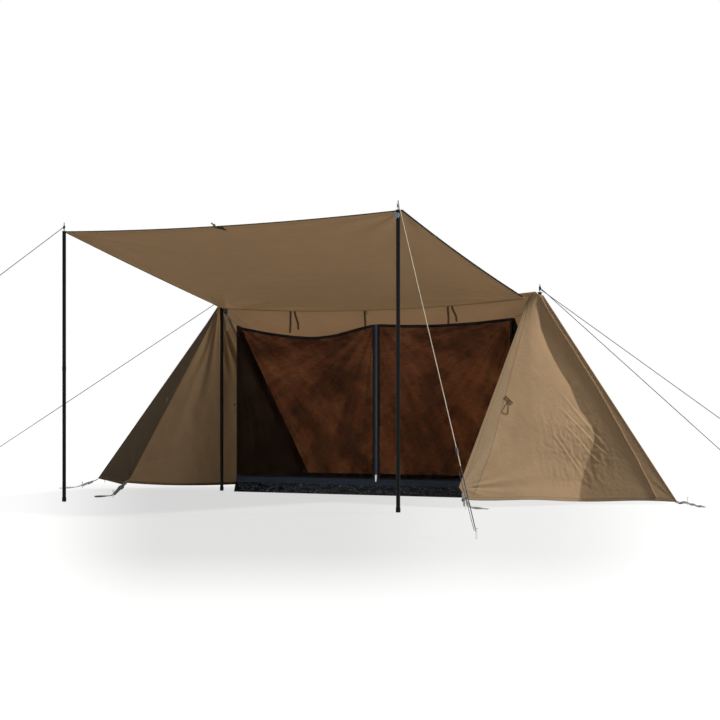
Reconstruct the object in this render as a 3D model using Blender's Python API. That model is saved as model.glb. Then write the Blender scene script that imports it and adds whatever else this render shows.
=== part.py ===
"""A military shelter tent: a ridge tent on two poles with its front panel raised as an awning.

Metres, +Z up. The origin is on the ground under the middle of the ridge, the ridge runs
along X and the open front faces -Y. Canvas is drawn as pitched, with its folds and sags.
"""
import math

import bmesh
import bpy
from mathutils import Matrix, Vector

# Clearances and materials' thicknesses
GAP = 0.0003
CANVAS_THICKNESS = 0.0024
MESH_THICKNESS = 0.0016
GROUNDSHEET_THICKNESS = 0.002

# The pitched shelter
RIDGE_HEIGHT = 1.50
RIDGE_HALF_SPAN = 1.39
RIDGE_SAG = 0.055
STRIP_FORWARD = 0.040
STRIP_DROP = 0.044
SEAM_SHARE = 0.0014
REAR_CORNER = Vector((RIDGE_HALF_SPAN + 0.03, 1.30, 0.050))
# The ground corners, left (-1) and right (1): the right side is pitched nearer the ground
FRONT_CORNERS = {
    -1: Vector((RIDGE_HALF_SPAN + 0.02, -1.21, 0.085)),
    1: Vector((RIDGE_HALF_SPAN - 0.001, -1.324, 0.060)),
}
SIDE_CORNERS = {
    -1: Vector((RIDGE_HALF_SPAN + 1.10, -0.18, 0.085)),
    1: Vector((RIDGE_HALF_SPAN + 1.11, -0.20, 0.020)),
}
WING_TOP = Vector((RIDGE_HALF_SPAN - 0.058, -0.056, RIDGE_HEIGHT - 0.062))
CORNER_CUT_ALONG = 0.080
CORNER_CUT_UP = 0.095
SEAM_RADIUS = 0.004
APEX_CLEARANCE = 0.040
WING_FOLD = 0.012
WALL_SAG = 0.030

# The awning and its two poles
AWNING_HEIGHT = 1.897
AWNING_REACH = 1.994
AWNING_HALF_WIDTH = RIDGE_HALF_SPAN - 0.03
AWNING_POLE_SIDE = AWNING_HALF_WIDTH - 0.02
AWNING_SAG = 0.055
AWNING_EDGE_SAG_SHARE = 0.2
AWNING_REAR_LEFT = RIDGE_HALF_SPAN - 0.035
AWNING_REAR_RIGHT = RIDGE_HALF_SPAN - 0.095
AWNING_FRONT_SAG = 0.030
AWNING_EDGE_CURVE = 0.010

# Poles
POLE_RADIUS = 0.0130
TUBE_WALL = 0.0012
POLE_SOCKET_DEPTH = 0.055
POLE_COLLAR_HEIGHT = 0.030
POLE_COLLAR_STEP = 0.0012
SPIKE_RADIUS = 0.0030
SPIKE_HEIGHT = 0.065
FOOT_HEIGHT = 0.032
FOOT_RADIUS = 0.0150
FIT_CLEARANCE = 0.0005

# Rings that lie on the poles' shoulders
RING_THICKNESS = 0.0024
RING_RADIUS = 0.0220
RING_HOLE_CLEARANCE = 0.0008
RING_BAR_RADIUS = 0.0018
RING_BAR_LENGTH = 0.032

# The inner tent
INNER_HALF_WIDTH = RIDGE_HALF_SPAN - 0.19
INNER_FRONT = -0.070
INNER_DEPTH = 1.07
INNER_HEIGHT = RIDGE_HEIGHT - 0.19
TUB_HEIGHT = 0.120
TUB_BASE_FLARE = 0.015
INNER_TOP_DEPTH = 0.050
LEFT_DOOR_SAG = 0.095
RIGHT_DOOR_SAG = 0.040
ZIP_ASIDE = 0.07
ZIP_TAPE_WIDTH = 0.014
ZIP_TAPE_THICKNESS = 0.0020
ZIP_SPLIT = 0.0024
SLIDER_HEIGHT = 0.034
SLIDER_WIDTH = 0.016
SLIDER_PLATE = 0.0022
PULL_LENGTH = 0.050
PULL_WIDTH = 0.010
PULL_THICKNESS = 0.0024

# Webbing, buckles and pegs
STRAP_WIDTH = 0.025
STRAP_THICKNESS = 0.0020
BUCKLE_WIDTH = 0.034
BUCKLE_THICKNESS = 0.009
BUCKLE_LENGTH = 0.038
FRONT_PEGS = {
    -1: Vector((FRONT_CORNERS[-1].x, FRONT_CORNERS[-1].y - 0.16, 0.0)),
    1: Vector((FRONT_CORNERS[1].x + 0.14, FRONT_CORNERS[1].y - 0.13, 0.0)),
}
SIDE_PEGS = {
    -1: Vector((SIDE_CORNERS[-1].x + 0.13, SIDE_CORNERS[-1].y - 0.05, 0.0)),
    1: Vector((SIDE_CORNERS[1].x + 0.11, SIDE_CORNERS[1].y - 0.08, 0.0)),
}
REAR_PEG = Vector((REAR_CORNER.x + 0.05, REAR_CORNER.y + 0.12, 0.0))
PEG_RADIUS = 0.0035
PEG_HEAD_RADIUS = 0.0100
PEG_STAND = 0.055
STRAP_PEG_HEIGHT = 0.018

# Guy lines
GUY_RADIUS = 0.0025
AWNING_GUY_PEG = Vector((AWNING_POLE_SIDE + 1.50, -3.91, 0.0))
FRONT_RIDGE_PEG = Vector((RIDGE_HALF_SPAN + 2.10, -0.95, 0.0))
REAR_RIDGE_PEG = Vector((RIDGE_HALF_SPAN + 1.85, 0.85, 0.0))
GUY_PEG_HEIGHT = 0.030
RUNNER_FROM_PEG = 0.50
RUNNER_LENGTH = 0.045
RUNNER_RADIUS = 0.007

# Facets
ROUND_SIDES = 16
SMALL_SIDES = 10

for old in list(bpy.data.objects):
    bpy.data.objects.remove(old, do_unlink=True)


def material(name, colour, roughness, metallic=0.0):
    made = bpy.data.materials.new(name)
    made.use_nodes = True
    shader = made.node_tree.nodes["Principled BSDF"]
    shader.inputs["Base Color"].default_value = (*colour, 1.0)
    shader.inputs["Roughness"].default_value = roughness
    shader.inputs["Metallic"].default_value = metallic
    return made


CANVAS = material("canvas", (0.24, 0.165, 0.095), 0.9)
NETTING = material("netting", (0.055, 0.028, 0.016), 0.85)
GROUNDSHEET = material("groundsheet", (0.012, 0.014, 0.020), 0.35)
BLACK_STEEL = material("black_steel", (0.018, 0.018, 0.020), 0.35, 0.8)
STEEL = material("steel", (0.55, 0.55, 0.56), 0.3, 1.0)
BLACK_PLASTIC = material("black_plastic", (0.02, 0.02, 0.022), 0.45)
WEBBING = material("webbing", (0.62, 0.62, 0.60), 0.85)
ZIP_TAPE = material("zip_tape", (0.03, 0.035, 0.055), 0.7)
GUY_CORD = material("guy_cord", (0.60, 0.50, 0.34), 0.8)


def add_object(name, mesh, finish, smooth=False):
    mesh.materials.append(finish)
    if smooth:
        mesh.shade_smooth()
        mesh.set_sharp_from_angle(angle=math.radians(35))
    made = bpy.data.objects.new(name, mesh)
    bpy.context.scene.collection.objects.link(made)
    return made


def closed_mesh(name, points, faces):
    """A mesh from points and faces, with its faces turned outwards."""
    mesh = bpy.data.meshes.new(name)
    mesh.from_pydata([tuple(p) for p in points], [], faces)
    work = bmesh.new()
    work.from_mesh(mesh)
    bmesh.ops.recalc_face_normals(work, faces=work.faces)
    work.to_mesh(mesh)
    work.free()
    return mesh


def on_side(point, side):
    return Vector((side * point.x, point.y, point.z))


def sheet(name, rows, thickness, finish):
    """A thin closed panel whose middle surface passes through rows of points."""
    across = len(rows[0])
    points = [point for row in rows for point in row]
    faces = [
        (i * across + j, i * across + j + 1, (i + 1) * across + j + 1, (i + 1) * across + j)
        for i in range(len(rows) - 1)
        for j in range(across - 1)
    ]
    mesh = bpy.data.meshes.new(name)
    mesh.from_pydata([tuple(p) for p in points], [], faces)
    made = add_object(name, mesh, finish)
    walls = made.modifiers.new("thickness", "SOLIDIFY")
    walls.thickness = thickness
    walls.offset = 0.0
    walls.use_even_offset = True
    return made


def turned(name, profile, place, finish, sides=ROUND_SIDES):
    """A profile of (radius, height) points turned about Z, then put at place."""
    work = bmesh.new()
    line = [work.verts.new((radius, 0.0, height)) for radius, height in profile]
    edges = [work.edges.new(pair) for pair in zip(line, line[1:])]
    bmesh.ops.spin(
        work,
        geom=line + edges,
        cent=(0.0, 0.0, 0.0),
        axis=(0.0, 0.0, 1.0),
        angle=2.0 * math.pi,
        steps=sides,
    )
    bmesh.ops.remove_doubles(work, verts=work.verts, dist=0.00002)
    bmesh.ops.recalc_face_normals(work, faces=work.faces)
    mesh = bpy.data.meshes.new(name)
    work.to_mesh(mesh)
    work.free()
    made = add_object(name, mesh, finish, smooth=True)
    made.matrix_world = place
    return made


def sweep(name, path, sizes, across, finish):
    """A strap or tape along a path, with its width and thickness and width's direction at
    each point."""
    corner = 0.2929
    points = []
    for i, centre in enumerate(path):
        before = path[max(i - 1, 0)]
        after = path[min(i + 1, len(path) - 1)]
        along = (after - before).normalized()
        side = (across[i] - along * across[i].dot(along)).normalized()
        rise = along.cross(side)
        width, thickness = sizes[i]
        cut = corner * min(width, thickness)
        half, tall = width / 2, thickness / 2
        outline = [
            (half, tall - cut), (half - cut, tall), (cut - half, tall), (-half, tall - cut),
            (-half, cut - tall), (cut - half, -tall), (half - cut, -tall), (half, cut - tall),
        ]
        points += [centre + side * a + rise * b for a, b in outline]
    turn = 8
    faces = [
        (i * turn + j, i * turn + (j + 1) % turn, (i + 1) * turn + (j + 1) % turn, (i + 1) * turn + j)
        for i in range(len(path) - 1)
        for j in range(turn)
    ]
    faces += [tuple(range(turn)), tuple(range((len(path) - 1) * turn, len(path) * turn))]
    return add_object(name, closed_mesh(name, points, faces), finish)


def cord(name, points, radius, finish):
    curve = bpy.data.curves.new(name, "CURVE")
    curve.dimensions = "3D"
    curve.bevel_depth = radius
    curve.bevel_resolution = 2
    curve.use_fill_caps = True
    spline = curve.splines.new("POLY")
    spline.points.add(len(points) - 1)
    for knot, point in zip(spline.points, points):
        knot.co = (*point, 1.0)
    curve.materials.append(finish)
    made = bpy.data.objects.new(name, curve)
    bpy.context.scene.collection.objects.link(made)
    return made


def prism(name, outline, height, place, finish):
    """An outline in the local XY plane, extruded along local Z from 0 to height."""
    count = len(outline)
    points = [Vector((x, y, z)) for z in (0.0, height) for x, y in outline]
    faces = [(i, (i + 1) % count, count + (i + 1) % count, count + i) for i in range(count)]
    faces += [tuple(range(count)), tuple(range(count, 2 * count))]
    mesh = closed_mesh(name, points, faces)
    mesh.transform(place)
    return add_object(name, mesh, finish)


def union(target, other):
    joined = target.modifiers.new("joined", "BOOLEAN")
    joined.operation = "UNION"
    joined.object = other
    other.hide_render = True
    other.display_type = "WIRE"


def hang_on(name, place, pieces):
    """An empty on a joint's axis that carries the pieces which move about it."""
    pivot = bpy.data.objects.new(name, None)
    pivot.location = place
    bpy.context.scene.collection.objects.link(pivot)
    for piece in pieces:
        piece.parent = pivot
        piece.matrix_parent_inverse = Matrix.Translation(-Vector(place))
    return pivot


def blend(first, last, share):
    return first * (1.0 - share) + last * share


def spread(count):
    return [i / count for i in range(count + 1)]


def ridge_height_at(x):
    """The ridge line sags between its two poles, because nothing stiff lies along it."""
    return RIDGE_HEIGHT - RIDGE_SAG * (1.0 - (x / RIDGE_HALF_SPAN) ** 2)


# Slopes that several pieces share
WALL_SLOPE = math.atan2(RIDGE_HEIGHT - REAR_CORNER.z, REAR_CORNER.y)
POLE_TOP = RIDGE_HEIGHT - 0.010
SEAM_INSET = SEAM_RADIUS / math.cos(math.pi / 8) + GAP
APEX = Vector((RIDGE_HALF_SPAN, 0.0, RIDGE_HEIGHT))
AWNING_AXIS_HEIGHT = RIDGE_HEIGHT - RIDGE_SAG - STRIP_DROP


def awning_rear_point(across):
    """A point of the seam, a little below the ridge on its front side, where the awning
    begins. across is -1 at the left and 1 at the right."""
    reach = AWNING_REAR_LEFT if across < 0.0 else AWNING_REAR_RIGHT
    x = reach * across
    return Vector((x, -STRIP_FORWARD, ridge_height_at(x) - STRIP_DROP))


def front_panel_point(out, across):
    """A point of the raised front panel: out is 0 at its seam and 1 at its front edge."""
    rear = awning_rear_point(across)
    middle = 1.0 - across ** 2
    front_height = AWNING_HEIGHT - AWNING_FRONT_SAG * middle
    front = Vector((AWNING_HALF_WIDTH * across, -AWNING_REACH, front_height))
    point = blend(rear, front, out)
    belly = 4.0 * out * (1.0 - out)
    share = AWNING_EDGE_SAG_SHARE + (1.0 - AWNING_EDGE_SAG_SHARE) * middle
    point.z -= AWNING_SAG * belly * share
    point.x -= AWNING_EDGE_CURVE * belly * across ** 3
    return point


def rear_wall():
    """The rear slope, carried over the ridge into a strip that the awning is sewn to."""
    columns = spread(16)
    rows = []
    for up in (0.0, 0.5, 1.0):
        row = []
        for u in columns:
            low = awning_rear_point(2 * u - 1)
            x = AWNING_REAR_LEFT * (2 * u - 1)
            ridge = Vector((x, 0.0, ridge_height_at(x)))
            low = low + (ridge - low).normalized() * SEAM_SHARE
            row.append(blend(low, ridge, up))
        rows.append(row)
    for down in (0.03, 0.18, 0.36, 0.54, 0.72, 0.88, 1.0):
        reach = blend(RIDGE_HALF_SPAN, REAR_CORNER.x, down) - SEAM_INSET
        row = []
        for u in columns:
            x = reach * (2 * u - 1)
            top = Vector((x, 0.0, ridge_height_at(x)))
            hem = Vector((x, REAR_CORNER.y, REAR_CORNER.z))
            sag = WALL_SAG * math.sin(math.pi * down) * math.sin(math.pi * u)
            inward = Vector((0.0, -math.sin(WALL_SLOPE), -math.cos(WALL_SLOPE)))
            row.append(blend(top, hem, down) + inward * sag)
        rows.append(row)
    return sheet("rear_wall", rows, CANVAS_THICKNESS, CANVAS)


def webbing_height_at(x):
    """The middle of the ridge webbing, just under the fold of the canvas."""
    under_fold = STRAP_WIDTH / 2 * math.tan(WALL_SLOPE)
    sag_there = WALL_SAG * math.sin(math.pi * STRAP_WIDTH / 2 / REAR_CORNER.y)
    under_canvas = (CANVAS_THICKNESS / 2 + GAP + sag_there) / math.cos(WALL_SLOPE)
    return ridge_height_at(x) - under_fold - under_canvas - STRAP_THICKNESS / 2


def ridge_webbing():
    """A strap under the ridge from pole to pole, which takes the pull of the guy lines."""
    reach = RIDGE_HALF_SPAN - POLE_RADIUS - GAP
    places = [reach * (2 * u - 1) for u in spread(16)]
    path = [Vector((x, 0.0, webbing_height_at(x))) for x in places]
    sizes = [(STRAP_WIDTH, STRAP_THICKNESS)] * len(path)
    return sweep("ridge_webbing", path, sizes, [Vector((0, 1, 0))] * len(path), CANVAS)


def seam_line(corner):
    """The edge from the apex to a ground corner, where two canvas panels meet."""
    down = (corner - APEX).normalized()
    return APEX + down * APEX_CLEARANCE, corner


def inset_in_plane(line, toward, inset):
    """Both ends of a line moved sideways, in the plane that also holds toward."""
    along = (line[1] - line[0]).normalized()
    across = toward - line[0]
    across = (across - along * across.dot(along)).normalized()
    return [point + across * inset for point in line]


def folded(first_edge, last_edge, first_hem, rows, columns, depth, folds):
    """Rows of points between two edges, with folds that fade out at every edge."""
    normal = (first_edge[1] - first_edge[0]).cross(last_edge[1] - first_edge[0]).normalized()
    grid = []
    for down in spread(rows):
        near = blend(first_edge[0], first_edge[1], down)
        far = blend(last_edge[0], last_edge[1], down)
        row = []
        for u in spread(columns):
            point = blend(near, far, u)
            if down == 1.0 and 0.0 < u < 1.0:
                point = blend(first_hem, far, (u - 1.0 / columns) / (1.0 - 1.0 / columns))
            fade = math.sin(math.pi * u) * math.sin(math.pi * down) ** 0.8
            point = point + normal * depth * fade * math.cos(2 * math.pi * folds * u + 0.7)
            row.append(point)
        grid.append(row)
    return grid


def wing_edges(side):
    """The wing's front edge, its outer edge and the two ends of its cut front corner. The
    right wing is wider at the top, where its front edge starts inboard of the pole."""
    corner = FRONT_CORNERS[side]
    top = WING_TOP if side > 0 else APEX + (corner - APEX).normalized() * APEX_CLEARANCE
    hem = (SIDE_CORNERS[side] - corner).normalized()
    cut_low = corner + hem * CORNER_CUT_ALONG
    cut_high = corner + (top - corner).normalized() * CORNER_CUT_UP
    outer = inset_in_plane(seam_line(SIDE_CORNERS[side]), corner, SEAM_INSET)
    return (top, cut_high), outer, cut_high, cut_low


def front_wing(name, side):
    front, outer, cut_high, cut_low = wing_edges(side)
    grid = folded(front, outer, cut_low, 10, 10, WING_FOLD, 2.0)
    rows = [[on_side(point, side) for point in row] for row in grid]
    return sheet(name, rows, CANVAS_THICKNESS, CANVAS)


def rear_end(name, side):
    outer = inset_in_plane(seam_line(SIDE_CORNERS[side]), REAR_CORNER, SEAM_INSET)
    rear = inset_in_plane(seam_line(REAR_CORNER), SIDE_CORNERS[side], SEAM_INSET)
    hem_start = blend(outer[1], rear[1], 1.0 / 8)
    grid = folded(outer, rear, hem_start, 8, 8, WING_FOLD, 1.5)
    rows = [[on_side(point, side) for point in row] for row in grid]
    return sheet(name, rows, CANVAS_THICKNESS, CANVAS)


def strap_to_peg(start, peg_place):
    """Path and sizes of a strap from start to a peg, with its buckle part of the way down."""
    foot = Vector((peg_place.x, peg_place.y, STRAP_PEG_HEIGHT))
    flat = foot - start
    along = flat.normalized()
    plan = math.hypot(along.x, along.y)
    reach = flat.length - (PEG_RADIUS + GAP + STRAP_THICKNESS / 2 * abs(along.z)) / plan
    first = (reach - BUCKLE_LENGTH) * 0.45
    stops = [
        (first, STRAP_WIDTH, STRAP_THICKNESS),
        (first + 0.004, BUCKLE_WIDTH, BUCKLE_THICKNESS),
        (first + BUCKLE_LENGTH, BUCKLE_WIDTH, BUCKLE_THICKNESS),
        (first + BUCKLE_LENGTH + 0.004, STRAP_WIDTH, STRAP_THICKNESS),
        (reach, STRAP_WIDTH, STRAP_THICKNESS),
    ]
    return [start + along * at for at, _, _ in stops], [(w, t) for _, w, t in stops]


def front_strap(name, side):
    _, _, cut_high, cut_low = wing_edges(side)
    middle = (cut_high + cut_low) / 2
    edge = (cut_low - cut_high).normalized()
    inside = blend(APEX, SIDE_CORNERS[side], 0.5) - middle
    outward = -(inside - edge * inside.dot(edge)).normalized()
    start = middle + outward * GAP
    clear = middle + outward * (GAP + 0.012)
    path, sizes = strap_to_peg(clear, FRONT_PEGS[side])
    path = [start, clear] + path
    sizes = [(STRAP_WIDTH, STRAP_THICKNESS)] * 2 + sizes
    reach = FRONT_PEGS[side] - clear
    level = Vector((-reach.y, reach.x, 0.0)).normalized()
    if level.dot(edge) < 0.0:
        level = -level
    across = [edge, edge] + [level] * (len(path) - 2)
    path = [on_side(point, side) for point in path]
    across = [on_side(width, side) for width in across]
    return sweep(name, path, sizes, across, WEBBING)


def seam_strap(name, side, corner, peg_place):
    """The seam between two panels, whose webbing runs on past the hem to its peg."""
    top, low = seam_line(corner)
    along = (low - top).normalized()
    count = 6
    path = [blend(top, low, share) for share in spread(count)]
    sizes = [(2 * SEAM_RADIUS, 2 * SEAM_RADIUS)] * len(path)
    out = low + along * 0.008
    more, more_sizes = strap_to_peg(out, peg_place)
    path = path + [out] + more
    sizes = sizes + [(2 * SEAM_RADIUS, 2 * SEAM_RADIUS)] + more_sizes
    path = [on_side(point, side) for point in path]
    reach = peg_place - corner
    level = Vector((-reach.y, reach.x, 0.0)).normalized()
    across = [on_side(level, side)] * len(path)
    return sweep(name, path, sizes, across, WEBBING)


def peg(name, place, side):
    """The head of a steel peg. Its shaft is in the ground and isn't drawn."""
    profile = [
        (0.0, 0.0),
        (PEG_RADIUS, 0.0),
        (PEG_RADIUS, PEG_STAND - 0.004),
        (PEG_HEAD_RADIUS, PEG_STAND - 0.003),
        (PEG_HEAD_RADIUS, PEG_STAND),
        (0.0, PEG_STAND + 0.002),
    ]
    return turned(name, profile, Matrix.Translation(on_side(place, side)), STEEL, SMALL_SIDES)


def pole(prefix, x, y, top):
    """Two tubes that plug together, with a foot cap below and a spike on top. Returns both."""
    joint = top / 2
    bore = POLE_RADIUS - TUBE_WALL
    plug = bore - FIT_CLEARANCE
    plug_bore = plug - TUBE_WALL
    collar = POLE_RADIUS + POLE_COLLAR_STEP
    lower = [
        (0.0, 0.0),
        (FOOT_RADIUS - 0.0015, 0.0),
        (FOOT_RADIUS, 0.004),
        (FOOT_RADIUS, FOOT_HEIGHT - 0.002),
        (POLE_RADIUS, FOOT_HEIGHT),
        (POLE_RADIUS, joint - POLE_COLLAR_HEIGHT),
        (collar, joint - POLE_COLLAR_HEIGHT + POLE_COLLAR_STEP),
        (collar, joint),
        (bore, joint),
        (bore, 0.008),
        (0.0, 0.008),
    ]
    upper = [
        (0.0, top - 0.010),
        (plug_bore, top - 0.010),
        (plug_bore, joint - POLE_SOCKET_DEPTH),
        (plug - 0.0005, joint - POLE_SOCKET_DEPTH),
        (plug, joint - POLE_SOCKET_DEPTH + 0.002),
        (plug, joint + GAP),
        (POLE_RADIUS, joint + GAP),
        (POLE_RADIUS, top - 0.002),
        (POLE_RADIUS - 0.002, top),
        (SPIKE_RADIUS, top),
        (SPIKE_RADIUS, top + SPIKE_HEIGHT - 0.008),
        (0.0, top + SPIKE_HEIGHT),
    ]
    place = Matrix.Translation((x, y, 0.0))
    return [
        turned(f"{prefix}_pole_lower", lower, place, BLACK_STEEL),
        turned(f"{prefix}_pole_upper", upper, place, BLACK_STEEL),
    ]


def ring_plate(name, outline, hole, base, place, finish):
    """A flat ring of RING_THICKNESS: outline(angle) is its outer radius round the hole."""
    steps = 20
    angles = [2 * math.pi * i / steps for i in range(steps)]
    points = []
    for reach, z in (
        (outline, base),
        (outline, base + RING_THICKNESS),
        (lambda angle: hole, base + RING_THICKNESS),
        (lambda angle: hole, base),
    ):
        points += [Vector((reach(a) * math.cos(a), reach(a) * math.sin(a), z)) for a in angles]
    faces = [
        (k * steps + i, k * steps + (i + 1) % steps, (k + 1) % 4 * steps + (i + 1) % steps,
         (k + 1) % 4 * steps + i)
        for k in range(4)
        for i in range(steps)
    ]
    mesh = closed_mesh(name, points, faces)
    mesh.transform(place)
    return add_object(name, mesh, finish)


def ridge_ring(name, side):
    """The eyelet plate that holds the canvas on the ridge pole's spike."""
    hole = SPIKE_RADIUS + RING_HOLE_CLEARANCE
    place = Matrix.Translation((side * RIDGE_HALF_SPAN, 0.0, 0.0))
    return ring_plate(name, lambda angle: RING_RADIUS, hole, POLE_TOP + GAP, place, STEEL)


AWNING_POLE_Y = -(AWNING_REACH + RING_BAR_RADIUS + GAP + POLE_RADIUS + 0.0025)
RING_BAR_Y = -(AWNING_REACH + RING_BAR_RADIUS + GAP)
AWNING_POLE_TOP = AWNING_HEIGHT - RING_THICKNESS / 2 - GAP


def awning_ring(name, side):
    """A ring over the spike whose straight bar is held in the awning's corner."""
    hole = SPIKE_RADIUS + RING_HOLE_CLEARANCE
    depth = RING_BAR_Y - AWNING_POLE_Y

    def outline(angle):
        rear = depth / max(math.sin(angle), 0.001)
        return min(RING_BAR_LENGTH / 2, rear)

    place = Matrix.Translation((side * AWNING_POLE_SIDE, AWNING_POLE_Y, 0.0))
    base = AWNING_HEIGHT - RING_THICKNESS / 2
    ring = ring_plate(name, outline, hole, base, place, STEEL)
    half = RING_BAR_LENGTH / 2
    lying = Matrix.Translation((side * AWNING_POLE_SIDE - half, RING_BAR_Y, AWNING_HEIGHT))
    bar = turned(
        f"{name}_bar",
        [(0.0, 0.0), (RING_BAR_RADIUS, 0.0), (RING_BAR_RADIUS, 2 * half), (0.0, 2 * half)],
        lying @ Matrix.Rotation(math.pi / 2, 4, "Y"),
        STEEL,
        SMALL_SIDES,
    )
    union(ring, bar)
    return ring


def awning():
    """The front panel, raised: it hangs between the ridge strip and its front corners."""
    first = SEAM_SHARE / AWNING_REACH
    rows = [
        [front_panel_point(blend(first, 1.0, out), 2 * u - 1) for u in spread(16)]
        for out in spread(12)
    ]
    return sheet("awning", rows, CANVAS_THICKNESS, CANVAS)


def groundsheet():
    """The tub floor: a flat sheet with an upright wall on all four sides."""
    wall = GROUNDSHEET_THICKNESS
    rear = INNER_FRONT + INNER_DEPTH

    def ring(inset, z, flare):
        x = INNER_HALF_WIDTH + flare - inset
        y0, y1 = INNER_FRONT - flare + inset, rear + flare - inset
        return [Vector(p) for p in ((-x, y0, z), (x, y0, z), (x, y1, z), (-x, y1, z))]

    top = TUB_HEIGHT
    points = (
        ring(0.0, 0.0, TUB_BASE_FLARE)
        + ring(0.0, top, 0.0)
        + ring(wall, top, 0.0)
        + ring(wall, wall, TUB_BASE_FLARE)
    )
    faces = [(0, 1, 2, 3), (12, 13, 14, 15)]
    for k in range(3):
        faces += [
            (4 * k + i, 4 * k + (i + 1) % 4, 4 * k + 4 + (i + 1) % 4, 4 * k + 4 + i)
            for i in range(4)
        ]
    return add_object("groundsheet", closed_mesh("groundsheet", points, faces), GROUNDSHEET)


MESH_FOOT = TUB_HEIGHT + GAP


def mesh_end(name, side):
    """The netting triangle at each end of the inner tent."""
    x = side * (INNER_HALF_WIDTH - MESH_THICKNESS / 2)
    front = INNER_FRONT + MESH_THICKNESS / 2 + GAP
    rear = INNER_FRONT + INNER_DEPTH - MESH_THICKNESS / 2
    rows = []
    for down in spread(5):
        z = blend(INNER_HEIGHT, MESH_FOOT, down)
        back = blend(INNER_FRONT + INNER_TOP_DEPTH, rear, down)
        rows.append([Vector((x, blend(front, back, u), z)) for u in spread(3)])
    return sheet(name, rows, MESH_THICKNESS, NETTING)


def mesh_top_at(x):
    """The netting's top edge sags between its two corners and the zip."""
    corner, sag = (INNER_HALF_WIDTH, RIGHT_DOOR_SAG)
    if x < ZIP_ASIDE:
        corner, sag = (-INNER_HALF_WIDTH, LEFT_DOOR_SAG)
    u = (x - corner) / (ZIP_ASIDE - corner)
    return blend(INNER_HEIGHT - 0.005 - sag * 4.0 * u * (1.0 - u), ZIP_TOP, u ** 4)


def mesh_rear():
    """The netting roof strip and rear slope of the inner tent, hung under the ridge."""
    half = INNER_HALF_WIDTH - MESH_THICKNESS - GAP
    front = INNER_FRONT + MESH_THICKNESS / 2 + GAP
    top_rear = INNER_FRONT + INNER_TOP_DEPTH - MESH_THICKNESS
    foot_rear = INNER_FRONT + INNER_DEPTH - MESH_THICKNESS
    places = [half * (2 * u - 1) for u in spread(16)]
    rows = [[Vector((x, front, mesh_top_at(x) - MESH_THICKNESS / 2)) for x in places]]
    for down in spread(6):
        row = []
        for u, x in zip(spread(16), places):
            sag = 0.02 * math.sin(math.pi * u) * math.sin(math.pi * down)
            top = mesh_top_at(x) - MESH_THICKNESS / 2
            y = blend(top_rear, foot_rear, down)
            row.append(Vector((x, y - sag, blend(top, MESH_FOOT + MESH_THICKNESS / 2, down) - sag)))
        rows.append(row)
    return sheet("mesh_rear", rows, MESH_THICKNESS, NETTING)


ZIP_FOOT = MESH_FOOT + SLIDER_HEIGHT + 0.002
ZIP_TOP = INNER_HEIGHT - 0.02
TAPE_OUTER = ZIP_SPLIT / 2 + ZIP_TAPE_WIDTH


def mesh_door(name, side):
    """Half of the netting front, from its hinge edge at the inner tent's side to the zip."""
    hinge_x = side * INNER_HALF_WIDTH
    zip_x = ZIP_ASIDE + side * (TAPE_OUTER + GAP)
    rows = []
    for down in spread(6):
        places = [blend(hinge_x, zip_x, u) for u in spread(10)]
        rows.append([Vector((x, INNER_FRONT, blend(mesh_top_at(x), MESH_FOOT, down))) for x in places])
    return sheet(name, rows, MESH_THICKNESS, NETTING)


def zip_half(name, side):
    """One tape of the zip. Its slider waits below it when the doors are zipped shut."""
    inner = ZIP_ASIDE + side * ZIP_SPLIT / 2
    outer = ZIP_ASIDE + side * TAPE_OUTER
    rows = [
        [Vector((x, INNER_FRONT, z)) for x in (inner, outer)]
        for z in (ZIP_FOOT, blend(ZIP_FOOT, ZIP_TOP, 0.5), ZIP_TOP)
    ]
    return sheet(name, rows, ZIP_TAPE_THICKNESS, ZIP_TAPE)


def zip_slider():
    """The slider: two plates joined by a web that runs between the tapes."""
    half = SLIDER_WIDTH / 2
    inner = ZIP_TAPE_THICKNESS / 2 + FIT_CLEARANCE
    outer = inner + SLIDER_PLATE
    web = ZIP_SPLIT / 2 - FIT_CLEARANCE
    quarter = [(half, outer), (half, inner), (web, inner)]
    outline = quarter + [(x, -y) for x, y in reversed(quarter)]
    outline += [(-x, -y) for x, y in quarter] + [(-x, y) for x, y in reversed(quarter)]
    place = Matrix.Translation((ZIP_ASIDE, INNER_FRONT, MESH_FOOT))
    return prism("zip_slider", outline, SLIDER_HEIGHT, place, STEEL)


PULL_AXIS = Vector((
    ZIP_ASIDE,
    INNER_FRONT - ZIP_TAPE_THICKNESS / 2 - FIT_CLEARANCE - SLIDER_PLATE - PULL_THICKNESS / 2 - GAP,
    MESH_FOOT + SLIDER_HEIGHT * 0.8,
))


def zip_pull():
    """The pull tab, round where it hinges on the slider and wider at its free end."""
    radius = PULL_THICKNESS / 2
    round_end = [
        (radius * math.cos(a), radius * math.sin(a))
        for a in (math.radians(180 - 30 * i) for i in range(7))
    ]
    tip = PULL_LENGTH * 0.9
    outline = round_end + [(radius, -tip), (0.0, -tip - radius), (-radius, -tip)]
    place = Matrix.Translation(PULL_AXIS + Vector((-PULL_WIDTH / 2, 0.0, 0.0)))
    turn = Matrix(((0, 0, 1, 0), (1, 0, 0, 0), (0, 1, 0, 0), (0, 0, 0, 1)))
    return prism("zip_pull", outline, PULL_WIDTH, place @ turn, STEEL)


HOOK_X = RIDGE_HALF_SPAN - POLE_RADIUS - BUCKLE_WIDTH * 0.45 - 0.012
HOOK_FOOT = RIDGE_HEIGHT - 0.090


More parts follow.
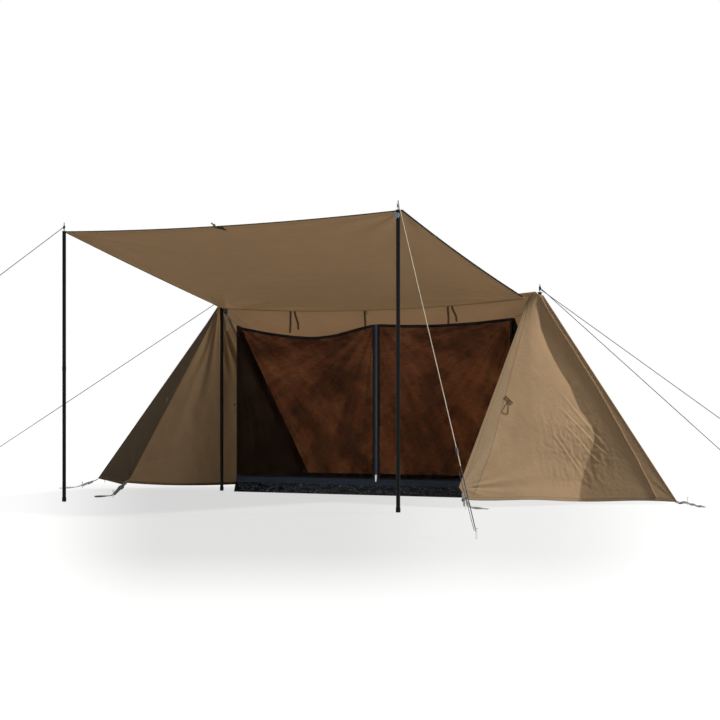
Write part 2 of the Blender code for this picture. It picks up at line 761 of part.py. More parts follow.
def inner_buckle(name, side):
    """The side-release buckle that hangs the inner tent from the ridge strap."""
    top = webbing_height_at(HOOK_X - STRAP_WIDTH / 2) - STRAP_THICKNESS / 2 - GAP
    width = BUCKLE_WIDTH * 0.9
    stops = [
        (top, STRAP_WIDTH, STRAP_THICKNESS),
        (top - 0.012, STRAP_WIDTH, STRAP_THICKNESS),
        (top - 0.015, width, BUCKLE_THICKNESS),
        (HOOK_FOOT + 0.010, width, BUCKLE_THICKNESS),
        (HOOK_FOOT, width * 0.8, BUCKLE_THICKNESS * 0.7),
    ]
    path = [Vector((side * HOOK_X, 0.0, z)) for z, _, _ in stops]
    sizes = [(w, t) for _, w, t in stops]
    return sweep(name, path, sizes, [Vector((1, 0, 0))] * len(path), BLACK_PLASTIC)


def inner_strap(name, side):
    """The short strap from the buckle down to the inner tent's corner."""
    top = Vector((HOOK_X, 0.0, HOOK_FOOT - GAP))
    below = top - Vector((0.0, 0.0, 0.010))
    corner = Vector((
        INNER_HALF_WIDTH - MESH_THICKNESS / 2,
        INNER_FRONT + INNER_TOP_DEPTH / 2,
        INNER_HEIGHT + STRAP_THICKNESS / 2 + GAP,
    ))
    over = corner + Vector((0.020, 0.006, 0.002))
    path = [on_side(point, side) for point in (top, below, over, corner)]
    sizes = [(STRAP_WIDTH * 0.6, STRAP_THICKNESS)] * len(path)
    return sweep(name, path, sizes, [Vector((0, 1, 0))] * len(path), WEBBING)


def guy_points(start, peg_place, side):
    """A taut, straight line from its end at a spike to a peg."""
    low = Vector((peg_place.x, peg_place.y, GUY_PEG_HEIGHT))
    along = (low - start).normalized()
    plan = math.hypot(along.x, along.y)
    end = low - along * ((PEG_RADIUS + GAP + GUY_RADIUS * abs(along.z)) / plan)
    return [on_side(blend(start, end, share), side) for share in spread(12)]


def off_the_spike(top, peg_place):
    """Where a line starts that leaves its spike straight towards its peg."""
    along = (Vector((peg_place.x, peg_place.y, GUY_PEG_HEIGHT)) - top).normalized()
    plan = math.hypot(along.x, along.y)
    return top + along * ((SPIKE_RADIUS + GAP + GUY_RADIUS * abs(along.z)) / plan)


def beside_the_spike(top):
    """Where a line starts that lies against the outer side of its spike."""
    return top + Vector((SPIKE_RADIUS + GUY_RADIUS + GAP, 0.0, 0.0))


def runner(name, points):
    """The tensioner that the awning's guy line runs through."""
    low = points[-1]
    nearest = min(range(1, len(points)), key=lambda i: abs((points[i] - low).length - RUNNER_FROM_PEG))
    first, last = points[nearest], points[nearest - 1]
    axis = (last - first).normalized()
    middle = (first + last) / 2
    bore = GUY_RADIUS + FIT_CLEARANCE
    profile = [
        (bore, 0.0),
        (RUNNER_RADIUS * 0.8, 0.0),
        (RUNNER_RADIUS, RUNNER_LENGTH * 0.2),
        (RUNNER_RADIUS, RUNNER_LENGTH * 0.8),
        (RUNNER_RADIUS * 0.8, RUNNER_LENGTH),
        (bore, RUNNER_LENGTH),
        (bore, 0.0),
    ]
    turn = Vector((0, 0, 1)).rotation_difference(axis).to_matrix().to_4x4()
    place = Matrix.Translation(middle - axis * RUNNER_LENGTH / 2) @ turn
    return turned(name, profile, place, BLACK_PLASTIC, SMALL_SIDES)


def build_canvas():
    rear_wall()
    panel = awning()
    hang_on("awning_hinge", (0.0, -STRIP_FORWARD, AWNING_AXIS_HEIGHT), [panel])
    for word, side in (("left", -1), ("right", 1)):
        front_wing(f"{word}_front_wing", side)
        rear_end(f"{word}_rear_end", side)
        front_strap(f"{word}_front_strap", side)
        seam_strap(f"{word}_side_strap", side, SIDE_CORNERS[side], SIDE_PEGS[side])
        seam_strap(f"{word}_rear_strap", side, REAR_CORNER, REAR_PEG)
        peg(f"{word}_front_peg", FRONT_PEGS[side], side)
        peg(f"{word}_side_peg", SIDE_PEGS[side], side)
        peg(f"{word}_rear_peg", REAR_PEG, side)


def build_poles():
    for word, side in (("left", -1), ("right", 1)):
        pole(f"{word}_ridge", side * RIDGE_HALF_SPAN, 0.0, POLE_TOP)
        ridge_ring(f"{word}_ridge_ring", side)
        pieces = pole(f"{word}_awning", side * AWNING_POLE_SIDE, AWNING_POLE_Y, AWNING_POLE_TOP)
        pieces.append(awning_ring(f"{word}_awning_ring", side))
        bar = (side * AWNING_POLE_SIDE, RING_BAR_Y, AWNING_HEIGHT)
        hang_on(f"{word}_pole_hinge", bar, pieces)


def build_guys():
    ridge_top = Vector((RIDGE_HALF_SPAN, 0.0, POLE_TOP + SPIKE_HEIGHT * 0.55))
    awning_top = Vector((AWNING_POLE_SIDE, AWNING_POLE_Y, AWNING_POLE_TOP + SPIKE_HEIGHT * 0.45))
    for word, side in (("left", -1), ("right", 1)):
        line = guy_points(beside_the_spike(awning_top), AWNING_GUY_PEG, side)
        guy = cord(f"{word}_awning_guy", line, GUY_RADIUS, GUY_CORD)
        slide = runner(f"{word}_awning_runner", line)
        peg(f"{word}_awning_guy_peg", AWNING_GUY_PEG, side)
        foot = Vector((side * AWNING_GUY_PEG.x, AWNING_GUY_PEG.y, GUY_PEG_HEIGHT))
        hang_on(f"{word}_guy_hinge", foot, [guy, slide])
        for part, peg_place, lower in (
            ("front", FRONT_RIDGE_PEG, 0.0),
            ("rear", REAR_RIDGE_PEG, 0.010),
        ):
            top = ridge_top - Vector((0.0, 0.0, lower))
            points = guy_points(off_the_spike(top, peg_place), peg_place, side)
            cord(f"{word}_{part}_ridge_guy", points, GUY_RADIUS, BLACK_PLASTIC)
            peg(f"{word}_{part}_guy_peg", peg_place, side)


def build_inner():
    ridge_webbing()
    groundsheet()
    mesh_rear()
    for word, side in (("left", -1), ("right", 1)):
        mesh_end(f"{word}_mesh_end", side)
        inner_buckle(f"{word}_inner_buckle", side)
        inner_strap(f"{word}_inner_strap", side)
        door = mesh_door(f"{word}_mesh_door", side)
        tape = zip_half(f"{word}_zip_tape", side)
        hang_on(f"{word}_door_hinge", (side * INNER_HALF_WIDTH, INNER_FRONT, MESH_FOOT), [door, tape])
    slider = zip_slider()
    hang_on("zip_path", (ZIP_ASIDE, INNER_FRONT, ZIP_FOOT), [slider])
    hang_on("zip_pull_hinge", PULL_AXIS, [zip_pull()])


build_canvas()
build_poles()
build_guys()
build_inner()
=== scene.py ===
import math
import bmesh
import bpy
import numpy as np
from mathutils import Matrix, Vector, noise


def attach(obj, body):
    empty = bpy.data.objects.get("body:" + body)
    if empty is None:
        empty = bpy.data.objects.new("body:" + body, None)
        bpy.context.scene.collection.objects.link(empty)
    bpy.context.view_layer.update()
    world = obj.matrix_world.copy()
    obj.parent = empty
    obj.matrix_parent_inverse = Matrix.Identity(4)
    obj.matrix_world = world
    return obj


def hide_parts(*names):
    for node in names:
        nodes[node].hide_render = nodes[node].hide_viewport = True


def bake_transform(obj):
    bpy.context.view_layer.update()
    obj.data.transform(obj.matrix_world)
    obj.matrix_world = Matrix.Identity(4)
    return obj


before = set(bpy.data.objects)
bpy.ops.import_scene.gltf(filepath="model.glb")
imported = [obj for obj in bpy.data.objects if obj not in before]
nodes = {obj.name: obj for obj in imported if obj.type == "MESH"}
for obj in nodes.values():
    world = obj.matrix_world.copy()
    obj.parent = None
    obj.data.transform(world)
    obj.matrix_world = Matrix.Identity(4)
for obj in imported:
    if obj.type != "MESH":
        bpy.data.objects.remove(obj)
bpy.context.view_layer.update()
scene = bpy.context.scene
sideNames = (("left", -1.0), ("right", 1.0))


# camera, floor and light

camera = {
    "place": (6.891, -11.985, 0.636),
    "azimuth": 30.3,
    "lens": 91.0,
    "shiftY": 0.0708,              # the horizon lies a little below the middle
}


def makeCamera(look):
    data = bpy.data.cameras.new("camera")
    data.lens = look["lens"]
    data.sensor_width = 36.0
    data.shift_y = look["shiftY"]
    data.clip_end = 200.0
    made = bpy.data.objects.new("camera", data)
    made.location = look["place"]
    made.rotation_euler = (math.radians(90), 0.0, math.radians(look["azimuth"]))
    scene.collection.objects.link(made)
    scene.camera = made


def newMaterial(name):
    made = bpy.data.materials.new(name)
    made.use_nodes = True
    made.node_tree.nodes.clear()
    return made, made.node_tree


def finished(made, surface):
    addNode(made.node_tree, "ShaderNodeOutputMaterial", Surface=surface)
    return made


def setInput(tree, socket, value):
    # a number or colour is set, and a node or another node's output is joined
    if isinstance(value, bpy.types.Node):
        value = value.outputs[0]
    if isinstance(value, bpy.types.NodeSocket):
        tree.links.new(value, socket)
    else:
        socket.default_value = value


def setInputs(tree, node, values):
    for socket, value in zip(node.inputs, values):
        setInput(tree, socket, value)
    return node


def addNode(tree, kind, **inputs):
    node = tree.nodes.new(kind)
    for key, value in inputs.items():
        setInput(tree, node.inputs[key.replace("_", " ")], value)
    return node


def mathNode(tree, operation, *values):
    node = tree.nodes.new("ShaderNodeMath")
    node.operation = operation
    return setInputs(tree, node, values).outputs[0]


def mixShaders(tree, share, first, second):
    return setInputs(tree, tree.nodes.new("ShaderNodeMixShader"), (share, first, second))


studio = {
    "reach": 60.0,
    "drop": 0.001,                 # how far the floor lies below the tent's own ground
    "bounce": 0.19,                # the floor's colour as the tent sees it
    "shown": 0.13,                 # and as the camera sees it, below its own glow
    "glow": 0.97,
    "shade": 0.327,                # how much the painted shadow greys the paper in front of the tent
    # where that painted shadow begins and ends: across the view, and in metres from the camera
    "left": (-0.195, -0.105),
    "right": (0.200, 0.090),
    "middle": (-0.02, 0.07),
    "middleShade": 0.34,
    "near": (5.0, 8.5),
    "far": (17.5, 14.2),
    "skyLight": 0.06,
    "sunPlace": (0.50, 0.50, 0.70),
    "sunStrength": 3.05,
    "sunSize": 7.0,
    "sunColour": (1.0, 0.97, 0.92),
    "skyColour": (0.93, 0.96, 1.0, 1.0),
    "fillPlace": (15.6, -12.3, 2.7),
    "fillSize": 7.0,
    "fillPower": 520.0,
    "fillAim": (0.0, 0.0, 0.9),
}


def softStep(tree, value, low, high):
    node = addNode(tree, "ShaderNodeMapRange", Value=value, From_Min=low, From_Max=high)
    node.interpolation_type = "SMOOTHSTEP"
    return node.outputs[0]


def paintedFloorShadow(tree, look):
    # a painted shadow: the paper is greyer before the tent, fading to white towards its near and
    # right edges
    place = tree.nodes.new("ShaderNodeTexCoord")
    turn = addNode(tree, "ShaderNodeMapping", Vector=place.outputs["Object"],
                   Location=(*camera["place"][:2], 0.0),
                   Rotation=(0.0, 0.0, math.radians(camera["azimuth"])))
    turn.vector_type = "TEXTURE"
    parts = addNode(tree, "ShaderNodeSeparateXYZ", Vector=turn)
    ahead = parts.outputs["Y"]
    aside = mathNode(tree, "DIVIDE", parts.outputs["X"], mathNode(tree, "MAXIMUM", ahead, 0.5))
    left, right, middle = (softStep(tree, aside, *look[key])
                           for key in ("left", "right", "middle"))
    near, far = (softStep(tree, ahead, *look[key]) for key in ("near", "far"))
    grey = mathNode(tree, "MULTIPLY", mathNode(tree, "MULTIPLY", left, right),
                    mathNode(tree, "MULTIPLY", near, far))
    grey = mathNode(tree, "MULTIPLY", grey,
                    mathNode(tree, "MULTIPLY_ADD", middle, -look["middleShade"], 1.0))
    return mathNode(tree, "MULTIPLY", mathNode(tree, "MULTIPLY_ADD", grey, -look["shade"], 1.0),
                    look["glow"])


def seenDirectly(tree):
    # whether the camera sees this point, and whether the camera or a shiny surface does
    rays = tree.nodes.new("ShaderNodeLightPath")
    seen = rays.outputs["Is Camera Ray"]
    return seen, mathNode(tree, "MAXIMUM", seen, rays.outputs["Is Glossy Ray"])


def addLamp(name, kind, power, fromWhere):
    light = bpy.data.lights.new(name, kind)
    light.energy = power
    lamp = bpy.data.objects.new(name, light)
    lamp.rotation_euler = fromWhere.to_track_quat("Z", "Y").to_euler()
    scene.collection.objects.link(lamp)
    return lamp


def makeStudio(look):
    mesh = bpy.data.meshes.new("floor")
    corners = [(x * look["reach"], y * look["reach"], -look["drop"])
               for x, y in ((-1, -1), (1, -1), (1, 1), (-1, 1))]
    mesh.from_pydata(corners, [], [(0, 1, 2, 3)])
    floor = bpy.data.objects.new("floor", mesh)
    scene.collection.objects.link(floor)
    made, tree = newMaterial("floorWhite")
    seen, direct = seenDirectly(tree)
    matte = addNode(tree, "ShaderNodeBsdfDiffuse", Color=mathNode(
        tree, "MULTIPLY_ADD", seen, look["shown"] - look["bounce"], look["bounce"]))
    glow = addNode(tree, "ShaderNodeEmission", Color=(1, 1, 1, 1),
                   Strength=mathNode(tree, "MULTIPLY", paintedFloorShadow(tree, look), direct))
    finished(made, setInputs(tree, tree.nodes.new("ShaderNodeAddShader"), (matte, glow)))
    mesh.materials.append(made)

    world = bpy.data.worlds.new("world")
    world.use_nodes = True
    scene.world = world
    tree = world.node_tree
    tree.nodes.clear()
    sky = addNode(tree, "ShaderNodeBackground", Color=look["skyColour"],
                  Strength=look["skyLight"])
    white = addNode(tree, "ShaderNodeBackground", Color=(1, 1, 1, 1), Strength=1.0)
    mix = mixShaders(tree, seenDirectly(tree)[1], sky, white)
    addNode(tree, "ShaderNodeOutputWorld", Surface=mix)

    sun = addLamp("sun", "SUN", look["sunStrength"], Vector(look["sunPlace"]))
    sun.data.angle = math.radians(look["sunSize"])
    sun.data.color = look["sunColour"]
    aim = Vector(look["fillPlace"]) - Vector(look["fillAim"])
    fill = addLamp("fill", "AREA", look["fillPower"], aim)
    fill.data.size = look["fillSize"]
    fill.location = look["fillPlace"]


makeCamera(camera)
makeStudio(studio)
scene.view_settings.view_transform = "Standard"
print("camera, floor and lights made")


# mesh helpers

def mixed(a, b, share):
    return np.asarray(a, float) * (1.0 - share) + np.asarray(b, float) * share


def unit(v):
    v = np.asarray(v, float)
    return v / max(np.linalg.norm(v), 1e-12)


def mirrored(points, side):
    return np.asarray(points, float) * np.array([side, 1.0, 1.0])


def shadedObject(name, mesh, finish):
    mesh.shade_smooth()
    mesh.set_sharp_from_angle(angle=math.radians(40))
    mesh.materials.append(finish)
    made = bpy.data.objects.new(name, mesh)
    scene.collection.objects.link(made)
    return made


def addMesh(name, points, faces, finish, uv):
    mesh = bpy.data.meshes.new(name)
    mesh.from_pydata([tuple(p) for p in points], [], faces)
    layer = mesh.uv_layers.new(name="cloth")
    index = np.zeros(len(mesh.loops), int)
    mesh.loops.foreach_get("vertex_index", index)
    layer.data.foreach_set("uv", np.asarray(uv, float)[index].ravel())
    work = bmesh.new()
    work.from_mesh(mesh)
    bmesh.ops.recalc_face_normals(work, faces=work.faces)
    work.to_mesh(mesh)
    work.free()
    return shadedObject(name, mesh, finish)


def gridNormals(grid):
    down = np.gradient(grid, axis=0)
    along = np.gradient(grid, axis=1)
    normal = np.cross(along, down)
    return normal / np.maximum(np.linalg.norm(normal, axis=2, keepdims=True), 1e-12)


def clothShell(name, grid, uv, thickness, finish):
    # a thin closed sheet round a grid of middle points
    rows, columns = grid.shape[:2]
    normal = gridNormals(grid)
    points = np.concatenate([(grid + normal * thickness / 2).reshape(-1, 3),
                             (grid - normal * thickness / 2).reshape(-1, 3)])
    flat = np.concatenate([uv.reshape(-1, 2), uv.reshape(-1, 2)])
    count = rows * columns
    faces = []
    for i in range(rows - 1):
        for j in range(columns - 1):
            a, b = i * columns + j, i * columns + j + 1
            c, d = a + columns, b + columns
            faces.append((a, b, d, c))
            faces.append((count + a, count + c, count + d, count + b))
    rim = list(range(columns))
    rim += [i * columns + columns - 1 for i in range(1, rows)]
    rim += [(rows - 1) * columns + j for j in range(columns - 2, -1, -1)]
    rim += [i * columns for i in range(rows - 2, 0, -1)]
    for a, b in zip(rim, rim[1:] + rim[:1]):
        faces.append((a, count + a, count + b, b))
    return addMesh(name, points, faces, finish, flat)


def flatRing(sides, power):
    ring = []
    for k in range(sides):
        angle = 2 * math.pi * (k + 0.5) / sides
        c, s = math.cos(angle), math.sin(angle)
        ring.append((math.copysign(abs(c) ** power, c), math.copysign(abs(s) ** power, s)))
    return np.array(ring)


def pathLengths(path):
    steps = np.linalg.norm(np.diff(path, axis=0), axis=1)
    return np.concatenate([[0.0], np.cumsum(steps)])


def sweepParts(path, widths, thicknesses, across, sides, power):
    # a tube round a path, flat or round by its power, with its ends closed
    path = np.asarray(path, float)
    count = len(path)
    widths = np.broadcast_to(np.asarray(widths, float), (count,))
    thicknesses = np.broadcast_to(np.asarray(thicknesses, float), (count,))
    along = np.gradient(path, axis=0)
    along /= np.linalg.norm(along, axis=1, keepdims=True)
    if across is None:
        seed = (0.0, 0.0, 1.0) if abs(along[0][2]) < 0.9 else (1.0, 0.0, 0.0)
        side = np.cross(along[0], np.array(seed))
        across = []
        for k in range(count):
            side = unit(side - along[k] * side.dot(along[k]))
            across.append(side)
    across = np.broadcast_to(np.asarray(across, float), (count, 3))
    ring = flatRing(sides, power)
    lengths = pathLengths(path)
    points, uv = [], []
    for k in range(count):
        side = unit(across[k] - along[k] * across[k].dot(along[k]))
        rise = np.cross(along[k], side)
        for x, y in ring:
            points.append(path[k] + side * x * widths[k] / 2 + rise * y * thicknesses[k] / 2)
            uv.append((x * widths[k] / 2, lengths[k]))
    faces = [(k * sides + j, k * sides + (j + 1) % sides, (k + 1) * sides + (j + 1) % sides,
              (k + 1) * sides + j) for k in range(count - 1) for j in range(sides)]
    faces.append(tuple(range(sides - 1, -1, -1)))
    faces.append(tuple(range((count - 1) * sides, count * sides)))
    return points, faces, uv


def sweep(name, path, widths, thicknesses, finish, across=None, sides=12, power=0.45):
    points, faces, uv = sweepParts(path, widths, thicknesses, across, sides, power)
    return addMesh(name, points, faces, finish, uv)


def resample(path, step):
    path = np.asarray(path, float)
    lengths = pathLengths(path)
    count = max(int(round(lengths[-1] / step)), 2)
    at = np.linspace(0.0, lengths[-1], count + 1)
    return np.stack([np.interp(at, lengths, path[:, k]) for k in range(3)], axis=1)


def eased(path, rounds):
    # the same points, with the corners between them rounded off
    path = np.asarray(path, float)
    for _ in range(rounds):
        inner = path.copy()
        inner[1:-1] = path[1:-1] * 0.5 + (path[:-2] + path[2:]) * 0.25
        path = inner
    return path


def softPath(points, step, rounds):
    return eased(resample(points, step), rounds)


def joined(name, pieces):
    # one mesh from several, which keep their own materials
    work = bmesh.new()
    finishes = []
    for piece in pieces:
        start = len(work.faces)
        work.from_mesh(piece.data)
        work.faces.ensure_lookup_table()
        finish = piece.data.materials[0]
        if finish not in finishes:
            finishes.append(finish)
        for face in work.faces[start:]:
            face.material_index = finishes.index(finish)
    mesh = bpy.data.meshes.new(name)
    work.to_mesh(mesh)
    work.free()
    for finish in finishes:
        mesh.materials.append(finish)
    for piece in pieces:
        old = piece.data
        bpy.data.objects.remove(piece)
        bpy.data.meshes.remove(old)
    made = bpy.data.objects.new(name, mesh)
    scene.collection.objects.link(made)
    return made


def softBox(name, size, place, turn, finish):
    # a moulded block with rounded edges; turn is its three axes as rows
    work = bmesh.new()
    bmesh.ops.create_cube(work, size=1.0)
    bmesh.ops.scale(work, vec=size, verts=work.verts)
    bmesh.ops.bevel(work, geom=list(work.edges), offset=min(size) * 0.3, segments=3,
                    profile=0.5, affect="EDGES")
    axes = Matrix((tuple(turn[0]), tuple(turn[1]), tuple(turn[2]))).transposed().to_4x4()
    bmesh.ops.transform(work, matrix=Matrix.Translation(Vector(place)) @ axes, verts=work.verts)
    bmesh.ops.recalc_face_normals(work, faces=work.faces)
    mesh = bpy.data.meshes.new(name)
    work.to_mesh(mesh)
    work.free()
    return shadedObject(name, mesh, finish)


def settle(made, body, node=None):
    # what a finished piece rides on, and the solid whose place it takes
    if body == "hinge":
        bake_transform(made)
    else:
        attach(made, body)
    if node:
        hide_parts(node)
    return made


def wander(points, scale, seed):
    # smooth noise from -1 to 1 at each point
    shift = Vector((seed * 7.13, seed * 3.71, seed * 5.37))
    flat = np.asarray(points, float).reshape(-1, 3)
    found = [noise.noise(Vector(p) * scale + shift) for p in flat]
    return np.array(found).reshape(np.asarray(points).shape[:-1])


# materials

def clothUv(tree):
    uv = tree.nodes.new("ShaderNodeUVMap")
    uv.uv_map = "cloth"
    return uv


def splitUv(tree, uv):
    parts = addNode(tree, "ShaderNodeSeparateXYZ", Vector=uv)
    return parts.outputs["X"], parts.outputs["Y"]


def bumpFrom(tree, height, strength, distance):
    return addNode(tree, "ShaderNodeBump", Height=height, Strength=strength, Distance=distance)


def clothWeave(tree, pitch, depth, strength):
    # a plain weave: two thread directions crossed, as a height from -1 to 1
    uv = clothUv(tree)
    waves = [mathNode(tree, "SINE", mathNode(tree, "MULTIPLY", part, 2 * math.pi / pitch))
             for part in splitUv(tree, uv)]
    crossed = mathNode(tree, "MULTIPLY", *waves)
    return uv, crossed, bumpFrom(tree, crossed, strength, depth)


def noiseAt(tree, place, scale, detail, rough):
    made = addNode(tree, "ShaderNodeTexNoise", Vector=place, Scale=scale, Detail=detail,
                   Roughness=rough)
    return made.outputs["Fac"]


def stretchedNoise(tree, uv, x, y, detail=3.0):
    place = addNode(tree, "ShaderNodeMapping", Vector=uv, Scale=(x, y, 1.0))
    return noiseAt(tree, place, 1.0, detail, 0.55)


def placeNoise(tree, scale, detail=4.0):
    place = tree.nodes.new("ShaderNodeTexCoord").outputs["Object"]
    return noiseAt(tree, place, scale, detail, 0.6)


def shades(tree, factor, stops):
    ramp = tree.nodes.new("ShaderNodeValToRGB")
    line = ramp.color_ramp
    while len(line.elements) < len(stops):
        line.elements.new(0.5)
    for element, (at, colour) in zip(line.elements, stops):
        element.position = at
        element.color = (*colour, 1.0)
    setInput(tree, ramp.inputs[0], factor)
    return ramp


def scaledColour(colour, by):
    return tuple(min(1.0, c * by) for c in colour)


def twoShades(tree, factor, colour, spread):
    return shades(tree, factor, [(0.3, scaledColour(colour, 1 - spread)),
                                 (0.7, scaledColour(colour, 1 + spread))])


canvasLook = {
    "colour": (0.84, 0.605, 0.375),
    "glow": (0.755, 0.64, 0.485),    # the tint of light that comes through each face of the cloth
    "through": 0.45,
    "thread": 0.0011,
    "roughness": 0.88,
}


def canvasMaterial(name, look, darker=1.0, through=None):
    made, tree = newMaterial(name)
    uv, _, weave = clothWeave(tree, look["thread"], 0.00025, 0.35)
    grain = mathNode(tree, "MULTIPLY", placeNoise(tree, 3.2), 0.35)
    threads, slubs = stretchedNoise(tree, uv, 260.0, 7.0), stretchedNoise(tree, uv, 9.0, 210.0)
    grain = mathNode(tree, "MULTIPLY_ADD", threads, 0.20, grain)
    grain = mathNode(tree, "MULTIPLY_ADD", slubs, 0.45, grain)
    base = scaledColour(look["colour"], darker)
    ramp = shades(tree, grain, [
        (0.30, scaledColour(base, 0.86)), (0.50, base), (0.72, scaledColour(base, 1.13))])
    crumple = addNode(tree, "ShaderNodeBump", Height=placeNoise(tree, 38.0, 3.0), Strength=0.5,
                      Distance=0.004, Normal=weave)
    cloth = addNode(tree, "ShaderNodeBsdfPrincipled", Base_Color=ramp, Normal=crumple,
                    Roughness=look["roughness"], Specular_IOR_Level=0.04)
    glow = addNode(tree, "ShaderNodeBsdfTranslucent", Color=(*look["glow"], 1.0), Normal=crumple)
    share = look["through"] if through is None else through
    return finished(made, mixShaders(tree, share, cloth, glow))


def fabricMaterial(name, colour, thread, roughness, spread=0.15, sheen=0.1, woven=True,
                   through=0.0):
    made, tree = newMaterial(name)
    ramp = twoShades(tree, placeNoise(tree, 22.0), colour, spread)
    cloth = addNode(tree, "ShaderNodeBsdfPrincipled", Base_Color=ramp, Roughness=roughness,
                    Sheen_Weight=sheen, Specular_IOR_Level=0.25)
    if woven:
        setInput(tree, cloth.inputs["Normal"], clothWeave(tree, thread, 0.0003, 0.5)[2])
    glow = addNode(tree, "ShaderNodeBsdfTranslucent", Color=ramp)
    return finished(made, mixShaders(tree, through, cloth, glow))


def foldShadeFan(tree, uv, corner, seed):
    # painted fold light and shade: streaks that run out from a corner where the net is pulled
    x, y = (mathNode(tree, "SUBTRACT", part, at) for part, at in zip(splitUv(tree, uv), corner))
    far = mathNode(tree, "SQRT", mathNode(tree, "MULTIPLY_ADD", x, x,
                                          mathNode(tree, "MULTIPLY", y, y)))
    angle = mathNode(tree, "ARCTAN2", y, x)
    spoke = addNode(tree, "ShaderNodeCombineXYZ", X=mathNode(tree, "MULTIPLY", angle, 7.0),
                    Y=mathNode(tree, "MULTIPLY", far, 1.6), Z=seed)
    return noiseAt(tree, spoke, 1.0, 4.0, 0.6)


netLook = {
    "cell": 0.0016,
    "weave": 0.18,                 # how much more the threads cover than the gaps between them
    # corners that the front net is pulled from, in its own plane, each with a seed; its painted
    # fold light and shade fans out from them
    "fans": (((-1.2, 1.32), 3.0), ((0.07, 1.33), 8.0), ((1.2, 1.32), 5.0)),
    "least": 0.04,
    "most": 0.9,
}


def netMaterial(name, colour, cover, through=0.0, foldShading=0.0):
    # cover: the share of the net that is thread; the last argument: how much the fans of painted
    # fold light and shade change it
    made, tree = newMaterial(name)
    uv, woven, bump = clothWeave(tree, netLook["cell"], 0.0003, 0.4)
    # painted fold light and shade, mixed with weave streaks, sets the net's colour
    folds = stretchedNoise(tree, uv, 6.0, 1.1, detail=5.0)
    foldShadeAndWeave = mathNode(tree, "MULTIPLY_ADD", stretchedNoise(tree, uv, 14.0, 110.0), 0.45,
                    mathNode(tree, "MULTIPLY", folds, 0.55))
    ramp = shades(tree, foldShadeAndWeave, [(at, scaledColour(colour, by))
                               for at, by in ((0.36, 0.55), (0.50, 0.95), (0.66, 1.45))])
    yarn = addNode(tree, "ShaderNodeBsdfPrincipled", Base_Color=ramp, Normal=bump, Roughness=0.6,
                   Specular_IOR_Level=0.1)
    glow = addNode(tree, "ShaderNodeBsdfTranslucent", Color=ramp)
    closed = addNode(tree, "ShaderNodeMapRange", Value=woven, From_Min=-0.6, From_Max=0.6,
                     To_Min=cover - netLook["weave"], To_Max=cover + netLook["weave"])
    if foldShading:
        # painted fold light and shade: the fans make the net cover more or less
        fans = [foldShadeFan(tree, uv, *fan) for fan in netLook["fans"]]
        total = mathNode(tree, "ADD", mathNode(tree, "ADD", fans[0], fans[1]), fans[2])
        change = mathNode(tree, "SUBTRACT", total, 0.5 * len(fans))
        closed = mathNode(tree, "MULTIPLY_ADD", change, foldShading, closed)
        closed = mathNode(tree, "MINIMUM", closed, netLook["most"])
        closed = mathNode(tree, "MAXIMUM", closed, netLook["least"])
    holes = tree.nodes.new("ShaderNodeBsdfTransparent")
    return finished(made, mixShaders(tree, closed, holes, mixShaders(tree, through, yarn, glow)))


def hardMaterial(name, colour, roughness, metallic, grain=300.0, spread=0.2, depth=0.0001,
                 specular=0.5):
    made, tree = newMaterial(name)
    wide = placeNoise(tree, 18.0)
    rough = addNode(tree, "ShaderNodeMapRange", Value=wide, To_Min=max(roughness - 0.08, 0.02),
                    To_Max=roughness + 0.1)
    return finished(made, addNode(
        tree, "ShaderNodeBsdfPrincipled", Base_Color=twoShades(tree, wide, colour, spread),
        Metallic=metallic, Roughness=rough, Specular_IOR_Level=specular,
        Normal=bumpFrom(tree, placeNoise(tree, grain, 3.0), 0.3, depth)))


def wrinkledMaterial(name):
    # coated black cloth with painted glints on its creases; the same noise bumps the creases
    made, tree = newMaterial(name)
    creasesAndGlints = stretchedNoise(tree, clothUv(tree), 9.0, 34.0, detail=2.5)
    # the thin bright stops are painted glints
    ramp = shades(tree, creasesAndGlints, [
        (0.30, (0.004, 0.004, 0.005)), (0.432, (0.008, 0.009, 0.013)),
        (0.442, (0.18, 0.21, 0.27)), (0.452, (0.008, 0.010, 0.014)),
        (0.515, (0.010, 0.012, 0.017)), (0.530, (0.50, 0.57, 0.68)),
        (0.545, (0.014, 0.017, 0.024)), (0.61, (0.02, 0.025, 0.035)),
        (0.625, (0.30, 0.35, 0.43)), (0.64, (0.014, 0.017, 0.024))])
    return finished(made, addNode(
        tree, "ShaderNodeBsdfPrincipled", Base_Color=ramp, Roughness=0.3,
        Specular_IOR_Level=0.12, Normal=bumpFrom(tree, creasesAndGlints, 0.6, 0.006)))


ropeLook = {"turn": 0.006, "strand": 0.003}


def ropeMaterial(name, colour, fleck):
    # a braided sheath: two crossing helices of strands round the rope
    made, tree = newMaterial(name)
    around, along = splitUv(tree, clothUv(tree))
    turned = mathNode(tree, "MULTIPLY", along, 2 * math.pi / ropeLook["turn"])
    waves = [mathNode(tree, "SINE", mathNode(tree, "MULTIPLY_ADD", around, strand, turned))
             for strand in (2 * math.pi / ropeLook["strand"], -2 * math.pi / ropeLook["strand"])]
    crossed = mathNode(tree, "MULTIPLY", *waves)
    span = addNode(tree, "ShaderNodeMapRange", Value=crossed, From_Min=-1.0)
    ramp = shades(tree, span, [(0.25, fleck), (0.6, colour)])
    return finished(made, addNode(
        tree, "ShaderNodeBsdfPrincipled", Base_Color=ramp, Roughness=0.75,
        Normal=bumpFrom(tree, crossed, 0.6, 0.0004)))


